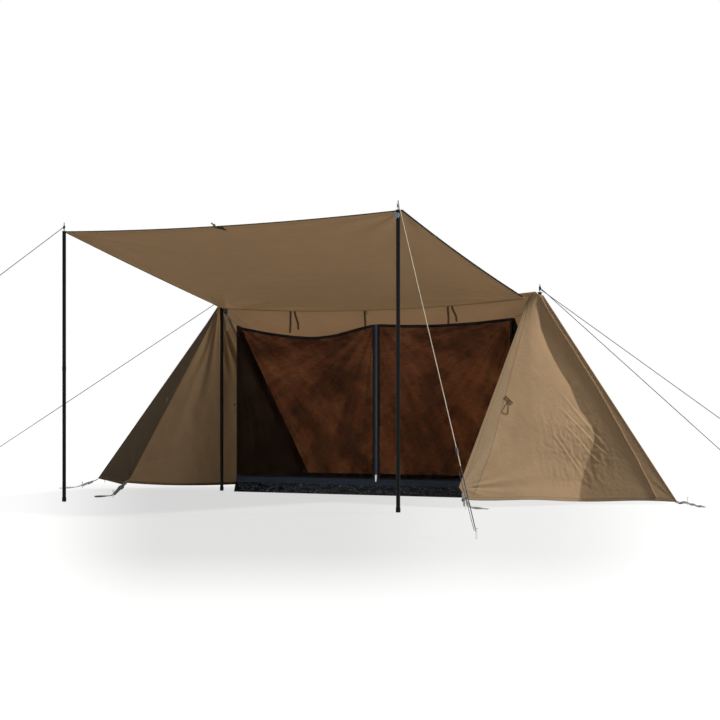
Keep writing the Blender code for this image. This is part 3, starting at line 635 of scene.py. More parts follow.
canvas = canvasMaterial("canvas", canvasLook)
# a copy of the canvas that lets more light through: painted light that makes the left rear end
# brighter
canvasEndPaintedLight = canvasMaterial("canvasEndPaintedLight", canvasLook, through=0.53)
canvasHem = canvasMaterial("canvasHem", canvasLook, darker=0.62, through=0.06)
canvasDouble = canvasMaterial("canvasDouble", canvasLook, darker=0.62, through=0.06)
# a darker, less see-through copy of the canvas: painted shade for the left wing's outer face
canvasPaintedShade = canvasMaterial("canvasPaintedShade", canvasLook, darker=0.45, through=0.10)
# the rolled seam's cloth is lighter than the rest: a painted highlight
canvasRollHighlight = canvasMaterial("canvasRollHighlight", canvasLook, darker=0.80, through=0.06)
darkBinding = fabricMaterial("darkBinding", (0.020, 0.017, 0.014), 0.0012, 0.75)
brownBinding = fabricMaterial("brownBinding", (0.085, 0.058, 0.035), 0.0012, 0.8)
netting = netMaterial("netting", (0.86, 0.52, 0.37), 0.78, through=0.70)
# the front net's cover carries painted fold light and shade that fans out from its corners
frontNetting = netMaterial("frontNetting", (0.040, 0.018, 0.011), 0.28, foldShading=0.95)
endNetting = netMaterial("endNetting", (0.011, 0.009, 0.009), 0.68)
tubCloth = wrinkledMaterial("tubCloth")
tubBand = fabricMaterial("tubBand", (0.045, 0.070, 0.115), 0.0010, 0.55)
zipCloth = fabricMaterial("zipCloth", (0.028, 0.040, 0.062), 0.0009, 0.6)
palePlastic = hardMaterial("palePlastic", (0.56, 0.66, 0.74), 0.35, 0.0)
whiteWeb = fabricMaterial("whiteWeb", (0.92, 0.94, 0.96), 0.0016, 0.7, spread=0.05, through=0.7)
blackWeb = fabricMaterial("blackWeb", (0.009, 0.008, 0.009), 0.0014, 0.8, sheen=0.0)
brownTape = fabricMaterial("brownTape", (0.150, 0.105, 0.064), 0.0012, 0.8)
beigeTape = fabricMaterial("beigeTape", (0.50, 0.42, 0.30), 0.0012, 0.8)
poleSteel = hardMaterial("poleSteel", (0.006, 0.006, 0.007), 0.36, 0.0, 40.0, 0.2, 0.00001, 0.10)
plainSteel = hardMaterial("plainSteel", (0.55, 0.55, 0.54), 0.30, 1.0, 600.0, 0.1)
darkSteel = hardMaterial("darkSteel", (0.13, 0.13, 0.13), 0.40, 1.0, 600.0, 0.1)
blackPlastic = hardMaterial("blackPlastic", (0.016, 0.016, 0.018), 0.42, 0.0, 700.0)
zipMetal = hardMaterial("zipMetal", (0.62, 0.62, 0.63), 0.22, 1.0, 500.0, 0.08)
toothMetal = hardMaterial("toothMetal", (0.16, 0.19, 0.24), 0.35, 1.0, 500.0, 0.08)
creamRope = ropeMaterial("creamRope", (0.95, 0.87, 0.70), (0.84, 0.74, 0.55))
greyRope = ropeMaterial("greyRope", (0.022, 0.026, 0.028), (0.017, 0.020, 0.022))
threadBrown = fabricMaterial("threadBrown", (0.30, 0.20, 0.115), 0.0008, 0.7, woven=False)
print("materials made")


# the tent's own sizes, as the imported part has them

tent = {
    "ridgeHeight": 1.50,
    "halfSpan": 1.39,
    "ridgeSag": 0.055,
    "stripForward": 0.040,
    "stripDrop": 0.044,
    "frontCorners": {-1: (1.41, -1.21, 0.085), 1: (1.389, -1.324, 0.060)},
    "sideCorners": {-1: (2.49, -0.18, 0.085), 1: (2.50, -0.20, 0.020)},
    "rearCorner": (1.42, 1.30, 0.050),
    "wingTop": (1.332, -0.056, 1.438),
    "awningHeight": 1.897,
    "awningReach": 1.994,
    "awningHalfWidth": 1.36,
    "awningRearLeft": 1.355,
    "awningRearRight": 1.295,
    "awningSag": 0.055,
    "edgeSagShare": 0.2,
    "awningFrontSag": 0.030,
    "awningEdgeCurve": 0.010,
    "wallSag": 0.030,
    "cloth": 0.0024,
    "seamInset": 0.0046,
    "cutShare": 0.075,             # how much of a hem its cut corner takes up
}
apex = np.array([tent["halfSpan"], 0.0, tent["ridgeHeight"]])
rearCorner = np.array(tent["rearCorner"])
wallRise = tent["ridgeHeight"] - rearCorner[2]
wallSlope = math.atan2(wallRise, rearCorner[1])
wallLength = math.hypot(rearCorner[1], wallRise)


def frontCornerOf(side):
    return np.array(tent["frontCorners"][int(side)])


def sideCornerOf(side):
    return np.array(tent["sideCorners"][int(side)])


def ridgeHeightAt(x):
    return tent["ridgeHeight"] - tent["ridgeSag"] * (1.0 - (x / tent["halfSpan"]) ** 2)


def seamPoint(across):
    # where the awning is sewn to the strip below the ridge; across runs from -1 to 1
    x = across * (tent["awningRearLeft"] if across < 0.0 else tent["awningRearRight"])
    return np.array([x, -tent["stripForward"], ridgeHeightAt(x) - tent["stripDrop"]])


# guy lines

guys = {
    "radius": 0.0025,
    "pegHeight": 0.030,
    "pegRadius": 0.0035,
    "spikeRadius": 0.003,
    "gap": 0.0003,
    "poleSide": 1.34,
    "poleY": -2.0116,
    "awningTop": 1.92475,
    "awningPeg": (2.84, -3.91),
    "ridgeTops": (1.52575, 1.51575),
    "ridgePegs": ((3.49, -0.95), (3.24, 0.85)),
    "knotRadius": 0.0062,
    "knotLine": 0.0024,
    "knotSteps": 14,
    "ridgeKnotHeight": 1.521,
    "greyEnd": 0.50,               # how much of the light line is grey, up from its peg
    "spareRadius": 0.0015,
    "spareEnds": (0.46, 0.012),    # how far up from the peg the spare leg begins and ends
    "spareAside": 0.015,
}


def offPost(along, postRadius):
    # how far along a line its middle stands off the middle of a round post
    clear = postRadius + guys["gap"] + guys["radius"] * abs(along[2])
    return along * (clear / math.hypot(along[0], along[1]))


def pegTop(pegPlace):
    return np.array([*pegPlace, guys["pegHeight"]])


def guyRoute(start, pegPlace, side):
    low = pegTop(pegPlace)
    end = low - offPost(unit(low - start), guys["pegRadius"])
    return mirrored(np.linspace(start, end, 61), side)


def tautLine(name, path, radius, finish, sides, body, node):
    # a straight length of line, which ends at its peg
    rope = sweep(name, path, 2 * radius, 2 * radius, finish, sides=sides, power=1.0)
    settle(rope, body, node)
    return rope


def makeKnot(name, place, turns, finish, body):
    # a few tight turns of line round an upright post
    axis = np.array([0.0, 0.0, 1.0])
    first = unit(np.cross(axis, [0.3, 0.9, 0.1]))
    second = np.cross(axis, first)
    steps = turns * guys["knotSteps"]
    path = []
    for k in range(steps + 1):
        angle = 2 * math.pi * k / guys["knotSteps"]
        rise = (k / steps - 0.5) * turns * 2.1 * guys["knotLine"]
        path.append(np.array(place) + first * math.cos(angle) * guys["knotRadius"]
                    + second * math.sin(angle) * guys["knotRadius"] + axis * rise)
    thick = 2 * guys["knotLine"]
    settle(sweep(name, path, thick, thick, finish, sides=8, power=1.0), body)


def spareLine(word, route):
    # the doubled end of the line, which comes back from the peg to the runner
    along = unit(route[-1] - route[0])
    high, low = (route[-1] - along * back for back in guys["spareEnds"])
    aside = unit(np.cross(along, [0.0, 0.0, 1.0])) * guys["spareAside"]
    steps = np.linspace(0.0, 1.0, 31)[:, None]
    path = high * (1 - steps) + low * steps + aside * (1.0 - 0.45 * steps)
    tautLine(f"{word}_guy_spare", path, guys["spareRadius"], greyRope, 8, f"{word}_awning_guy",
             None)


def makeGuys():
    poleSide, poleY, high = guys["poleSide"], guys["poleY"], guys["awningTop"]
    reach = poleSide + guys["spikeRadius"] + guys["radius"] + guys["gap"]
    for word, side in sideNames:
        finish = creamRope if side > 0 else greyRope
        route = guyRoute(np.array([reach, poleY, high]), guys["awningPeg"], side)
        makeKnot(f"{word}_awning_knot", (side * poleSide, poleY, high), 4, finish,
                 f"{word}_awning_pole")
        line = tautLine(f"{word}_awning_line", route, guys["radius"], finish, 10,
                        f"{word}_awning_guy", f"{word}_awning_guy")
        line.data.materials.append(greyRope)
        for face in line.data.polygons:
            if (Vector(route[-1]) - face.center).length < guys["greyEnd"]:
                face.material_index = 1
        spareLine(word, route)
        for part, pegPlace, top in zip(("front", "rear"), guys["ridgePegs"], guys["ridgeTops"]):
            begin = np.array([tent["halfSpan"], 0.0, top])
            begin = begin + offPost(unit(pegTop(pegPlace) - begin), guys["spikeRadius"])
            tautLine(f"{word}_{part}_ridge_line", guyRoute(begin, pegPlace, side), guys["radius"],
                     greyRope, 10, "tent", f"{word}_{part}_ridge_guy")
        makeKnot(f"{word}_ridge_knot", (side * tent["halfSpan"], 0.0, guys["ridgeKnotHeight"]), 5,
                 greyRope, "tent")


makeGuys()
print("guy lines made")


# canvas

def fanFolds(flat, corner, depth, seed, reach, spokes=6.0):
    # uneven folds that run out from a corner that is pulled
    away = flat - np.asarray(corner, float)
    far = np.hypot(away[..., 0], away[..., 1])
    angle = np.arctan2(away[..., 1], away[..., 0])
    spoke = np.dstack([angle * spokes, far * 1.3, np.full(far.shape, seed * 1.7)])
    fade = np.exp(-(far / reach) ** 1.5) * np.clip(far / 0.06, 0.0, 1.0)
    return depth * 2.0 * wander(spoke, 1.0, seed) * fade


def foldAlong(flat, first, last, width, depth):
    # one fold along a line, which fades at both ends
    first, last = np.asarray(first, float), np.asarray(last, float)
    along = last - first
    share = np.clip(((flat - first) @ along) / along.dot(along), 0.0, 1.0)
    gap = np.linalg.norm(flat - (first + share[..., None] * along), axis=2)
    return depth * np.exp(-(gap / width) ** 2.0) * np.sin(math.pi * share) ** 0.5


def roughness(flat, scaleX, scaleY, seed):
    level = flat[..., 0] * 0
    return wander(np.dstack([flat[..., 0] * scaleX, flat[..., 1] * scaleY, level]), 1.0, seed)


def creased(flat, fans, folds=(), waves=()):
    lift = np.zeros(flat.shape[:2])
    for fan in fans:
        lift += fanFolds(flat, *fan)
    for fold in folds:
        lift += foldAlong(flat, *fold)
    for depth, *wave in waves:
        lift += depth * roughness(flat, *wave)
    return lift


awningLook = {
    "rows": 150,
    "columns": 210,
    "seamGap": 0.0007,
    "slack": 1.03,
    # folds that run out from a corner: where, depth, seed, reach and number of spokes
    "fans": (((-1.355, 0.0), 0.016, 3, 0.60, 5.0), ((1.295, 0.0), 0.013, 4, 0.55, 5.0),
             ((1.36, 2.05), 0.012, 5, 0.80, 6.0), ((-1.36, 2.05), 0.011, 6, 0.70, 6.0)),
    # single folds: from, to, width and depth
    "folds": (((1.33, 2.02), (0.62, 0.85), 0.10, 0.012),
              ((1.33, 2.00), (0.95, 0.75), 0.07, -0.009),
              ((-1.30, 0.05), (-0.55, 0.50), 0.05, 0.010),
              ((-1.30, 0.04), (-0.20, 0.18), 0.022, -0.015),
              ((-1.31, 0.03), (-0.62, 0.10), 0.014, -0.010),
              ((1.29, 0.04), (0.30, 0.16), 0.020, -0.011),
              ((1.27, 0.06), (0.55, 0.30), 0.04, 0.007)),
    # broad and fine waves: depth, waves along, waves down and seed
    "waves": ((0.010, 1.7, 2.6, 3), (0.0022, 9.0, 13.0, 13)),
}


def frontPanelPoint(out, across):
    rear = seamPoint(across)
    middle = 1.0 - across ** 2
    front = np.array([tent["awningHalfWidth"] * across, -tent["awningReach"],
                      tent["awningHeight"] - tent["awningFrontSag"] * middle])
    point = rear * (1 - out) + front * out
    belly = 4.0 * out * (1.0 - out)
    share = tent["edgeSagShare"] + (1.0 - tent["edgeSagShare"]) * middle
    point[2] -= tent["awningSag"] * belly * share
    point[0] -= tent["awningEdgeCurve"] * belly * across ** 3
    return point


def makeAwning(look):
    outs = np.linspace(look["seamGap"], 1.0, look["rows"])
    sides = np.linspace(-1.0, 1.0, look["columns"])
    grid = np.array([[frontPanelPoint(o, u) for u in sides] for o in outs])
    flat = np.stack([grid[..., 0], -grid[..., 1] * look["slack"]], axis=2)
    lift = creased(flat, look["fans"], look["folds"], look["waves"])
    edge = np.clip(np.minimum(outs - outs[0], 1 - outs) / 0.05, 0, 1)[:, None]
    edge = edge * np.clip((1 - np.abs(sides)) / 0.03, 0, 1)[None, :]
    grid = grid + gridNormals(grid) * (lift * edge)[..., None]
    made = clothShell("awning_cloth", grid, flat, tent["cloth"], canvas)
    settle(made, "hinge", "awning")
    return grid


awningGrid = makeAwning(awningLook)

wallLook = {
    "rows": 90,
    "columns": 170,
    "strip": 8,                    # rows of the strip between the ridge and the awning's seam
    "fans": (((-1.39, 0.0), 0.014, 31, 0.5), ((1.39, 0.0), 0.014, 32, 0.5),
             ((-1.42, wallLength), 0.012, 33, 0.5), ((1.42, wallLength), 0.012, 34, 0.5)),
}


def makeRearWall(look):
    sides = np.linspace(0.0, 1.0, look["columns"])
    inward = np.array([0.0, -math.sin(wallSlope), -math.cos(wallSlope)])
    rows = []
    for up in np.linspace(0.03, 1.0, look["strip"]):
        row = []
        for u in sides:
            low = seamPoint(2 * u - 1)
            x = tent["awningRearLeft"] * (2 * u - 1)
            row.append(low * (1 - up) + np.array([x, 0.0, ridgeHeightAt(x)]) * up)
        rows.append(row)
    downs = np.concatenate([[0.010, 0.020], np.linspace(0.03, 1.0, look["rows"])])
    for down in downs:
        full = tent["halfSpan"] * (1 - down) + rearCorner[0] * down - tent["seamInset"]
        share = min(down / 0.03, 1.0)
        reach = tent["awningRearLeft"] * (1 - share) + full * share
        row = []
        for u in sides:
            x = reach * (2 * u - 1)
            top = np.array([x, 0.0, ridgeHeightAt(x)])
            hem = np.array([x, rearCorner[1], rearCorner[2]])
            sag = tent["wallSag"] * math.sin(math.pi * down) * math.sin(math.pi * u)
            row.append(top * (1 - down) + hem * down + inward * sag)
        rows.append(row)
    grid = np.array(rows)
    runs = np.concatenate([np.linspace(-0.058, 0.0, look["strip"]), downs * wallLength])
    flat = np.stack([grid[..., 0], np.broadcast_to(runs[:, None], grid.shape[:2])], axis=2)
    lift = creased(flat, look["fans"])
    lift += 0.010 * roughness(flat, 2.2, 1.6, 5) + 0.0022 * roughness(flat, 13.0, 9.0, 15)
    edge = np.clip(np.minimum(runs, wallLength - runs) / 0.10, 0, 1)[:, None]
    edge = edge * np.clip((0.5 - np.abs(sides - 0.5)) / 0.02, 0, 1)[None, :]
    grid = grid - inward * (lift * edge + 0.006 * edge)[..., None]
    made = clothShell("rear_wall_cloth", grid, flat, tent["cloth"], canvas)
    settle(made, "tent", "rear_wall")


makeRearWall(wallLook)


def seamLine(corner):
    # from just below the ridge pole's top to a corner on the ground
    down = unit(corner - apex)
    return apex + down * 0.040, corner


def insetLine(line, toward, inset):
    along = unit(line[1] - line[0])
    across = toward - line[0]
    across = unit(across - along * across.dot(along))
    return [point + across * inset for point in line]


def wingEdges(side):
    # its front edge, its outer seam, and the two ends of its cut front corner
    corner, outerCorner = frontCornerOf(side), sideCornerOf(side)
    top = np.array(tent["wingTop"]) if side > 0 else apex + unit(corner - apex) * 0.040
    hem = unit(outerCorner - corner)
    cutLow = corner + hem * 0.080
    cutHigh = corner + unit(top - corner) * 0.095
    outer = insetLine(seamLine(outerCorner), corner, tent["seamInset"])
    return (top, cutHigh), outer, cutHigh, cutLow


def panelPlane(grid, first, last):
    # the plane through the apex and two corners: its normal, and where the grid is on it
    xAxis = unit(last - first)
    normal = unit(np.cross(last - first, apex - first))
    yAxis = np.cross(xAxis, normal)
    away = grid - apex
    return normal, np.stack([away @ xAxis, away @ yAxis], axis=2)


def panelGrid(firstEdge, lastEdge, firstHem, rows, columns):
    # rows from the top to the hem; the last row's first span is the cut corner
    downs = np.linspace(0.0, 1.0, rows)
    shares = np.linspace(0.0, 1.0, columns)
    near = np.array([mixed(firstEdge[0], firstEdge[1], d) for d in downs])
    far = np.array([mixed(lastEdge[0], lastEdge[1], d) for d in downs])
    grid = near[:, None, :] * (1 - shares)[None, :, None] + far[:, None, :] * shares[None, :, None]
    cut = tent["cutShare"]
    hemRow = np.where(shares[:, None] < cut,
                      firstEdge[1][None, :] * (1 - shares[:, None] / cut)
                      + firstHem[None, :] * (shares[:, None] / cut),
                      firstHem[None, :] * (1 - (shares[:, None] - cut) / (1 - cut))
                      + far[-1][None, :] * ((shares[:, None] - cut) / (1 - cut)))
    drop = hemRow - grid[-1]
    ease = np.clip((downs - 0.80) / 0.20, 0, 1) ** 1.5
    return grid + drop[None, :, :] * ease[:, None, None]


wingLook = {
    "rows": {-1: 130, 1: 240},
    "columns": {-1: 90, 1: 190},
    # waves: depth, waves across, waves down and seed
    "broad": (0.007, 2.6, 1.3, 8),
    "fine": (0.0012, 16.0, 11.0, 18),
    "slope": 0.27,                 # how steeply the shaded strip turns away
    # the valley between the lit cloth and the shaded strip, and the rolled seam on that strip:
    # how far down the wing, and how far across it from the front edge
    "valley": ((0.0, 0.66), (0.06, 0.60), (0.167, 0.56), (0.339, 0.652), (0.459, 0.722),
               (0.574, 0.733), (0.656, 0.775), (0.721, 0.758), (0.837, 0.675), (0.922, 0.632),
               (1.0, 0.612)),
    "rolled": ((0.0, 0.80), (0.10, 0.88), (0.241, 0.932), (0.467, 0.951), (0.663, 0.940),
               (0.856, 0.933), (1.0, 0.925)),
    "slopeGain": ((0.0, 1.0), (0.6, 1.0), (0.85, 1.05), (1.0, 1.0)),
    "wrinkles": (0.79, 0.60),      # where small wrinkles gather, down and across
    # light folds that reach over the valley: from and to, each down and across
    "fingers": (((0.50, 0.60), (0.76, 0.80)), ((0.57, 0.55), (0.80, 0.79)),
                ((0.66, 0.56), (0.84, 0.74)), ((0.70, 0.46), (0.93, 0.66))),
    # the top of the right wing goes up round the front of the pole to the ridge
    "topCurve": ((1.322, -0.046, 1.452), (1.372, -0.050, 1.500)),
}
endLook = {
    "rows": 120,
    "columns": 90,
    "broad": (0.016, 3.0, 0.8, 12),
    "fine": (0.0022, 14.0, 7.0, 22),
}


def panelWaves(flat, side, look):
    # broad and fine waves that die away towards a panel's edges
    downs, shares = (np.linspace(0, 1, count) for count in flat.shape[:2])
    fade = np.sin(math.pi * shares)[None, :] * np.sin(math.pi * downs[:, None]) ** 0.8
    lift = 0.0
    for key, share in (("broad", fade), ("fine", np.clip(fade * 3, 0, 1))):
        depth, across, down, seed = look[key]
        lift = lift + depth * share * roughness(flat, across, down, seed + side)
    return lift, fade


def wingLift(grid, flat, side, look):
    # how far the cloth stands off its plane, and how far its shaded strip turns away
    rows, columns = grid.shape[:2]
    downs = np.linspace(0, 1, rows)
    shares = np.linspace(0, 1, columns)[None, :]
    lift, _ = panelWaves(flat, side, look)
    lift += fanFolds(flat, flat[-1, 0], 0.010, 44 + side, 0.55, 5.0) * np.clip(shares * 12, 0, 1)
    lift += fanFolds(flat, flat[-1, -1], 0.002, 47 + side, 0.30, 5.0)
    shape = np.zeros_like(lift)
    if side > 0:
        valley = np.interp(downs, *zip(*look["valley"]))[:, None]
        width = np.linalg.norm(grid[:, -1] - grid[:, 0], axis=1)[:, None]
        slope = look["slope"] * np.interp(downs, *zip(*look["slopeGain"]))[:, None]
        low = -slope * (1 - valley) * width
        before = low * (shares / valley) ** 2.2
        beyond = low * (1 - shares) / (1 - valley)
        shape = np.where(shares < valley, before, beyond) * np.clip(downs[:, None] / 0.03, 0, 1)

        def placeAt(down, across):
            return flat[int(down * rows), int(across * columns)]

        away = (flat - placeAt(*look["wrinkles"])) / (0.24, 0.30)
        patch = np.exp(-(np.linalg.norm(away, axis=2)) ** 2)
        lift += 0.0040 * patch * roughness(flat, 26.0, 8.0, 61)
        lift += 0.0040 * patch * roughness(flat, 44.0, 30.0, 62)
        for ends in look["fingers"]:
            first, last = (placeAt(*end) for end in ends)
            lift += foldAlong(flat, first, last, 0.010, 0.0030)
            lift -= foldAlong(flat, first + (0.022, 0.0), last + (0.022, 0.0), 0.010, 0.0018)
    edge = np.clip(np.minimum(shares, 1 - shares) / 0.02, 0, 1)
    edge = edge * np.clip(downs[:, None] / 0.03, 0, 1)
    edge = edge * np.clip((1 - downs[:, None]) / 0.05, 0.15, 1)
    return lift * edge, shape


def makeWing(word, side, look):
    front, outer, _, cutLow = wingEdges(side)
    rows, columns = look["rows"][int(side)], look["columns"][int(side)]
    grid = panelGrid(front, outer, cutLow, rows, columns)
    downs = np.linspace(0, 1, rows)
    shares = np.linspace(0, 1, columns)
    if side > 0:
        # the top row is bent to a curve, which fades out below it
        a, b = (np.array(place) for place in look["topCurve"])
        t = shares[:, None]
        curve = a * (1 - t) ** 2 + 2 * b * t * (1 - t) + outer[0] * t ** 2
        ease = np.clip(1 - downs / 0.12, 0, 1) ** 1.6
        grid = grid + (curve - grid[0])[None] * ease[:, None, None]
    normal, flat = panelPlane(grid, frontCornerOf(side), sideCornerOf(side))
    lift, shape = wingLift(grid, flat, side, look)
    level = unit(normal * np.array([1.0, 1.0, 0.0]))
    grid = grid + normal * lift[..., None] + level * shape[..., None] / (normal @ level)
    if side > 0:
        droop = 0.010 * np.sin(math.pi * shares) + 0.006 * np.sin(4 * math.pi * shares)
        grid[..., 2] -= droop[None, :] * np.clip((downs - 0.85) / 0.15, 0, 1)[:, None] ** 1.5
    grid = mirrored(grid, side)
    # the left wing takes the copy of the canvas with painted shade
    made = clothShell(f"{word}_wing_cloth", grid, flat, tent["cloth"],
                      canvas if side > 0 else canvasPaintedShade)
    settle(made, "tent", f"{word}_front_wing")
    return grid


def makeRearEnd(word, side, look):
    outerCorner = sideCornerOf(side)
    outer = insetLine(seamLine(outerCorner), rearCorner, tent["seamInset"])
    rear = insetLine(seamLine(rearCorner), outerCorner, tent["seamInset"])
    hemStart = mixed(outer[1], rear[1], tent["cutShare"])
    rows, columns = look["rows"], look["columns"]
    grid = panelGrid(outer, rear, hemStart, rows, columns)
    normal, flat = panelPlane(grid, outerCorner, rearCorner)
    downs = np.linspace(0, 1, rows)[:, None]
    shares = np.linspace(0, 1, columns)[None, :]
    lift, fade = panelWaves(flat, side, look)
    lift += (fanFolds(flat, flat[0, 0], 0.014, 51 + side, 0.8, 9.0)
             + fanFolds(flat, flat[-1, 0], 0.012, 54 + side, 0.5)) * np.clip(fade * 4, 0, 1)
    grid = grid + normal * lift[..., None]
    droop = np.sin(math.pi * shares) ** 0.7 * np.clip((downs - 0.80) / 0.20, 0, 1) ** 1.3
    grid[..., 2] -= droop * np.clip(grid[-1, :, 2] - 0.012, 0.0, None)[None, :]
    grid = mirrored(grid, side)
    # the left rear end takes the copy of the canvas with painted light
    made = clothShell(f"{word}_rear_end_cloth", grid, flat, tent["cloth"],
                      canvas if side > 0 else canvasEndPaintedLight)
    settle(made, "tent", f"{word}_rear_end")
    return grid


wingGrids = {}
endGrids = {}
for word, side in sideNames:
    wingGrids[word] = makeWing(word, side, wingLook)
    endGrids[word] = makeRearEnd(word, side, endLook)
print("canvas made")


# hems, seams and webbing

def hemAlong(name, path, finish, width, thickness, body, across, slot="canvas"):
    path = resample(path, 0.02)
    if len(across) > 1:
        across = np.asarray(across)
        old, new = np.linspace(0, 1, len(across)), np.linspace(0, 1, len(path))
        across = np.array([np.interp(new, old, across[:, k]) for k in range(3)]).T
    made = sweep(name, path, width, thickness, finish, across=across, sides=10, power=0.6)
    return settle(made, body)


def outwardNormals(grid, toward):
    # the normals on the face of the cloth that looks a given way
    normals = gridNormals(grid)
    middle = normals[grid.shape[0] // 2, grid.shape[1] // 2]
    return normals if middle @ np.array(toward) > 0 else -normals


underside, frontside = (0.0, 0.0, -1.0), (0.0, -1.0, 0.0)


def patchOn(name, grid, corners, lift, finish, body):
    # a doubled piece sewn under a part of a panel: three corners, each a row and a column share
    last = np.array(grid.shape[:2]) - 1
    normals = outwardNormals(grid, underside)
    steps = 14
    points = np.zeros((steps, steps, 3))
    a, b, c = (np.array(corner) for corner in corners)
    for i, d in enumerate(np.linspace(0, 1, steps)):
        for j, u in enumerate(np.linspace(0, 1, steps)):
            where = (a * (1 - u) + b * u) * (1 - d * 0.97) + c * d * 0.97
            r, s = np.clip(where, 0.0, 0.9999) * last
            row, column = int(r), int(s)
            for n, aside in ((column, 1 - s + column), (column + 1, s - column)):
                for m, below in ((row, 1 - r + row), (row + 1, r - row)):
                    points[i, j] += below * aside * (grid[m, n] + normals[m, n] * lift)
    flat = np.stack([points[..., 0], -points[..., 1]], axis=2)
    settle(clothShell(name, points, flat, 0.0012, finish), body)


awningTrim = {
    # the hems: how far inside the edge, finish, width and thickness
    "front": (0.003, brownBinding, 0.012, 0.0052),
    "left": (0.004, brownBinding, 0.012, 0.0052),
    "right": (-0.004, darkBinding, 0.015, 0.0056),
    # the dark patch in the middle of the front edge: its corners, each down and across
    "patch": ((0.998, 0.464), (0.998, 0.497), (0.965, 0.494)),
    # the toggle there: how far across it is, and the ends of its three bars from the edge
    "toggleAt": 0.474,
    "toggleBars": (((-0.022, -0.006, 0.024), (0.022, -0.010, -0.006)),
                   ((0.000, -0.004, 0.016), (0.004, -0.012, -0.012)),
                   ((-0.006, -0.010, 0.004), (0.012, -0.008, 0.010))),
    # the small loop on the right edge: its row, and its points from the edge
    "loopRow": 112,
    "loop": ((-0.004, 0.012, -0.002), (0.012, 0.008, -0.006), (0.016, 0.0, -0.008),
             (0.012, -0.008, -0.006), (-0.004, -0.012, -0.002)),
}


def makeAwningTrim(look):
    inward, *hem = look["front"]
    hemAlong("awning_front_hem", awningGrid[-1, 3:-3] + np.array([0, inward, 0]), *hem,
             "awning", across=[(0, 1, 0)])
    for word, column in (("left", 0), ("right", -1)):
        inward, *hem = look[word]
        hemAlong(f"awning_{word}_hem", awningGrid[4:, column] + np.array([inward, 0, 0]), *hem,
                 "hinge", across=[(1, 0, 0)])
    seam = np.array([seamPoint(u) for u in np.linspace(-0.995, 0.995, 120)])
    hemAlong("awning_seam", seam + np.array([0, -0.001, 0.0006]), canvasHem, 0.015, 0.0052,
             "tent", across=[(0, 1, 0.35)])
    patchOn("awning_middle_patch", awningGrid, look["patch"], 0.0022, brownBinding, "awning")
    edge = awningGrid[-1, int(look["toggleAt"] * (awningLook["columns"] - 1))]
    bars = [sweep(f"awning_front_loop_{k}", resample(edge + np.array(ends), 0.006), 0.0095,
                  0.0050, beigeTape, across=[(0.2, 0.2, 1)], sides=10, power=0.8)
            for k, ends in enumerate(look["toggleBars"])]
    settle(joined("awning_front_toggle", bars), "awning")
    small = awningGrid[look["loopRow"], -1] + np.array(look["loop"])
    loop = sweep("awning_side_loop", softPath(small, 0.003, 3), 0.0075, 0.0020, beigeTape,
                 across=[(0, 0, 1)])
    settle(loop, "awning")


makeAwningTrim(awningTrim)

straps = {
    "width": 0.025,
    "thickness": 0.002,
    "buckleWidth": 0.036,
    "buckleLength": 0.042,
    "frontPegs": {-1: (1.41, -1.37), 1: (1.529, -1.454)},
    "sidePegs": {-1: (2.62, -0.23), 1: (2.61, -0.28)},
    "rearPeg": (1.47, 1.42),
    "pegHeight": 0.018,
    # how far from its peg each loose end lies: along the ground, right and towards the camera
    "frontTails": {-1: ((0.02, 0.02), (0.075, -0.03), (0.10, -0.09)),
                   1: ((0.03, 0.0), (0.10, -0.03), (0.20, -0.07))},
    "sideTails": {-1: ((0.01, -0.05), (0.035, -0.15), (0.04, -0.24)),
                  1: ((0.05, -0.08), (0.13, -0.20), (0.24, -0.33))},
    "rearTails": ((0.02, 0.02), (0.04, -0.06), (0.05, -0.12)),
    "tailHeights": (0.014, 0.010, 0.009),
    "leastHeight": 0.0012,
}


def ladderBuckle(name, place, along, level, finish):
    # a frame with bars that the webbing is threaded over
    along, level = unit(along), unit(level)
    up = np.cross(along, level)
    turn = (level, along, up if up[2] >= 0 else -up)
    width, length = straps["buckleWidth"], straps["buckleLength"]
    place = np.asarray(place, float)
    pieces = []
    for k in (-1, 1):
        pieces.append(softBox(name + "_rail", (0.0042, length, 0.0072),
                              place + level * k * (width / 2 - 0.0021), turn, finish))
    for at in (-0.44, -0.06, 0.44):
        pieces.append(softBox(name + "_bar", (width - 0.003, 0.0060, 0.0058),
                              place + along * at * length, turn, finish))
    return joined(name, pieces)


def aboveFloor(made):
    for vertex in made.data.vertices:
        vertex.co.z = max(vertex.co.z, straps["leastHeight"])


def tilted(run, side, lean):
    # across the webbing, with its far edge raised so that its face shows from the front
    level = unit([-run[1], run[0], 0.0])
    if level @ np.array([-0.5 * side, 0.86, 0.0]) < 0:
        level = -level
    return unit(level * math.cos(lean) + np.array([0.0, 0.0, math.sin(lean)]))


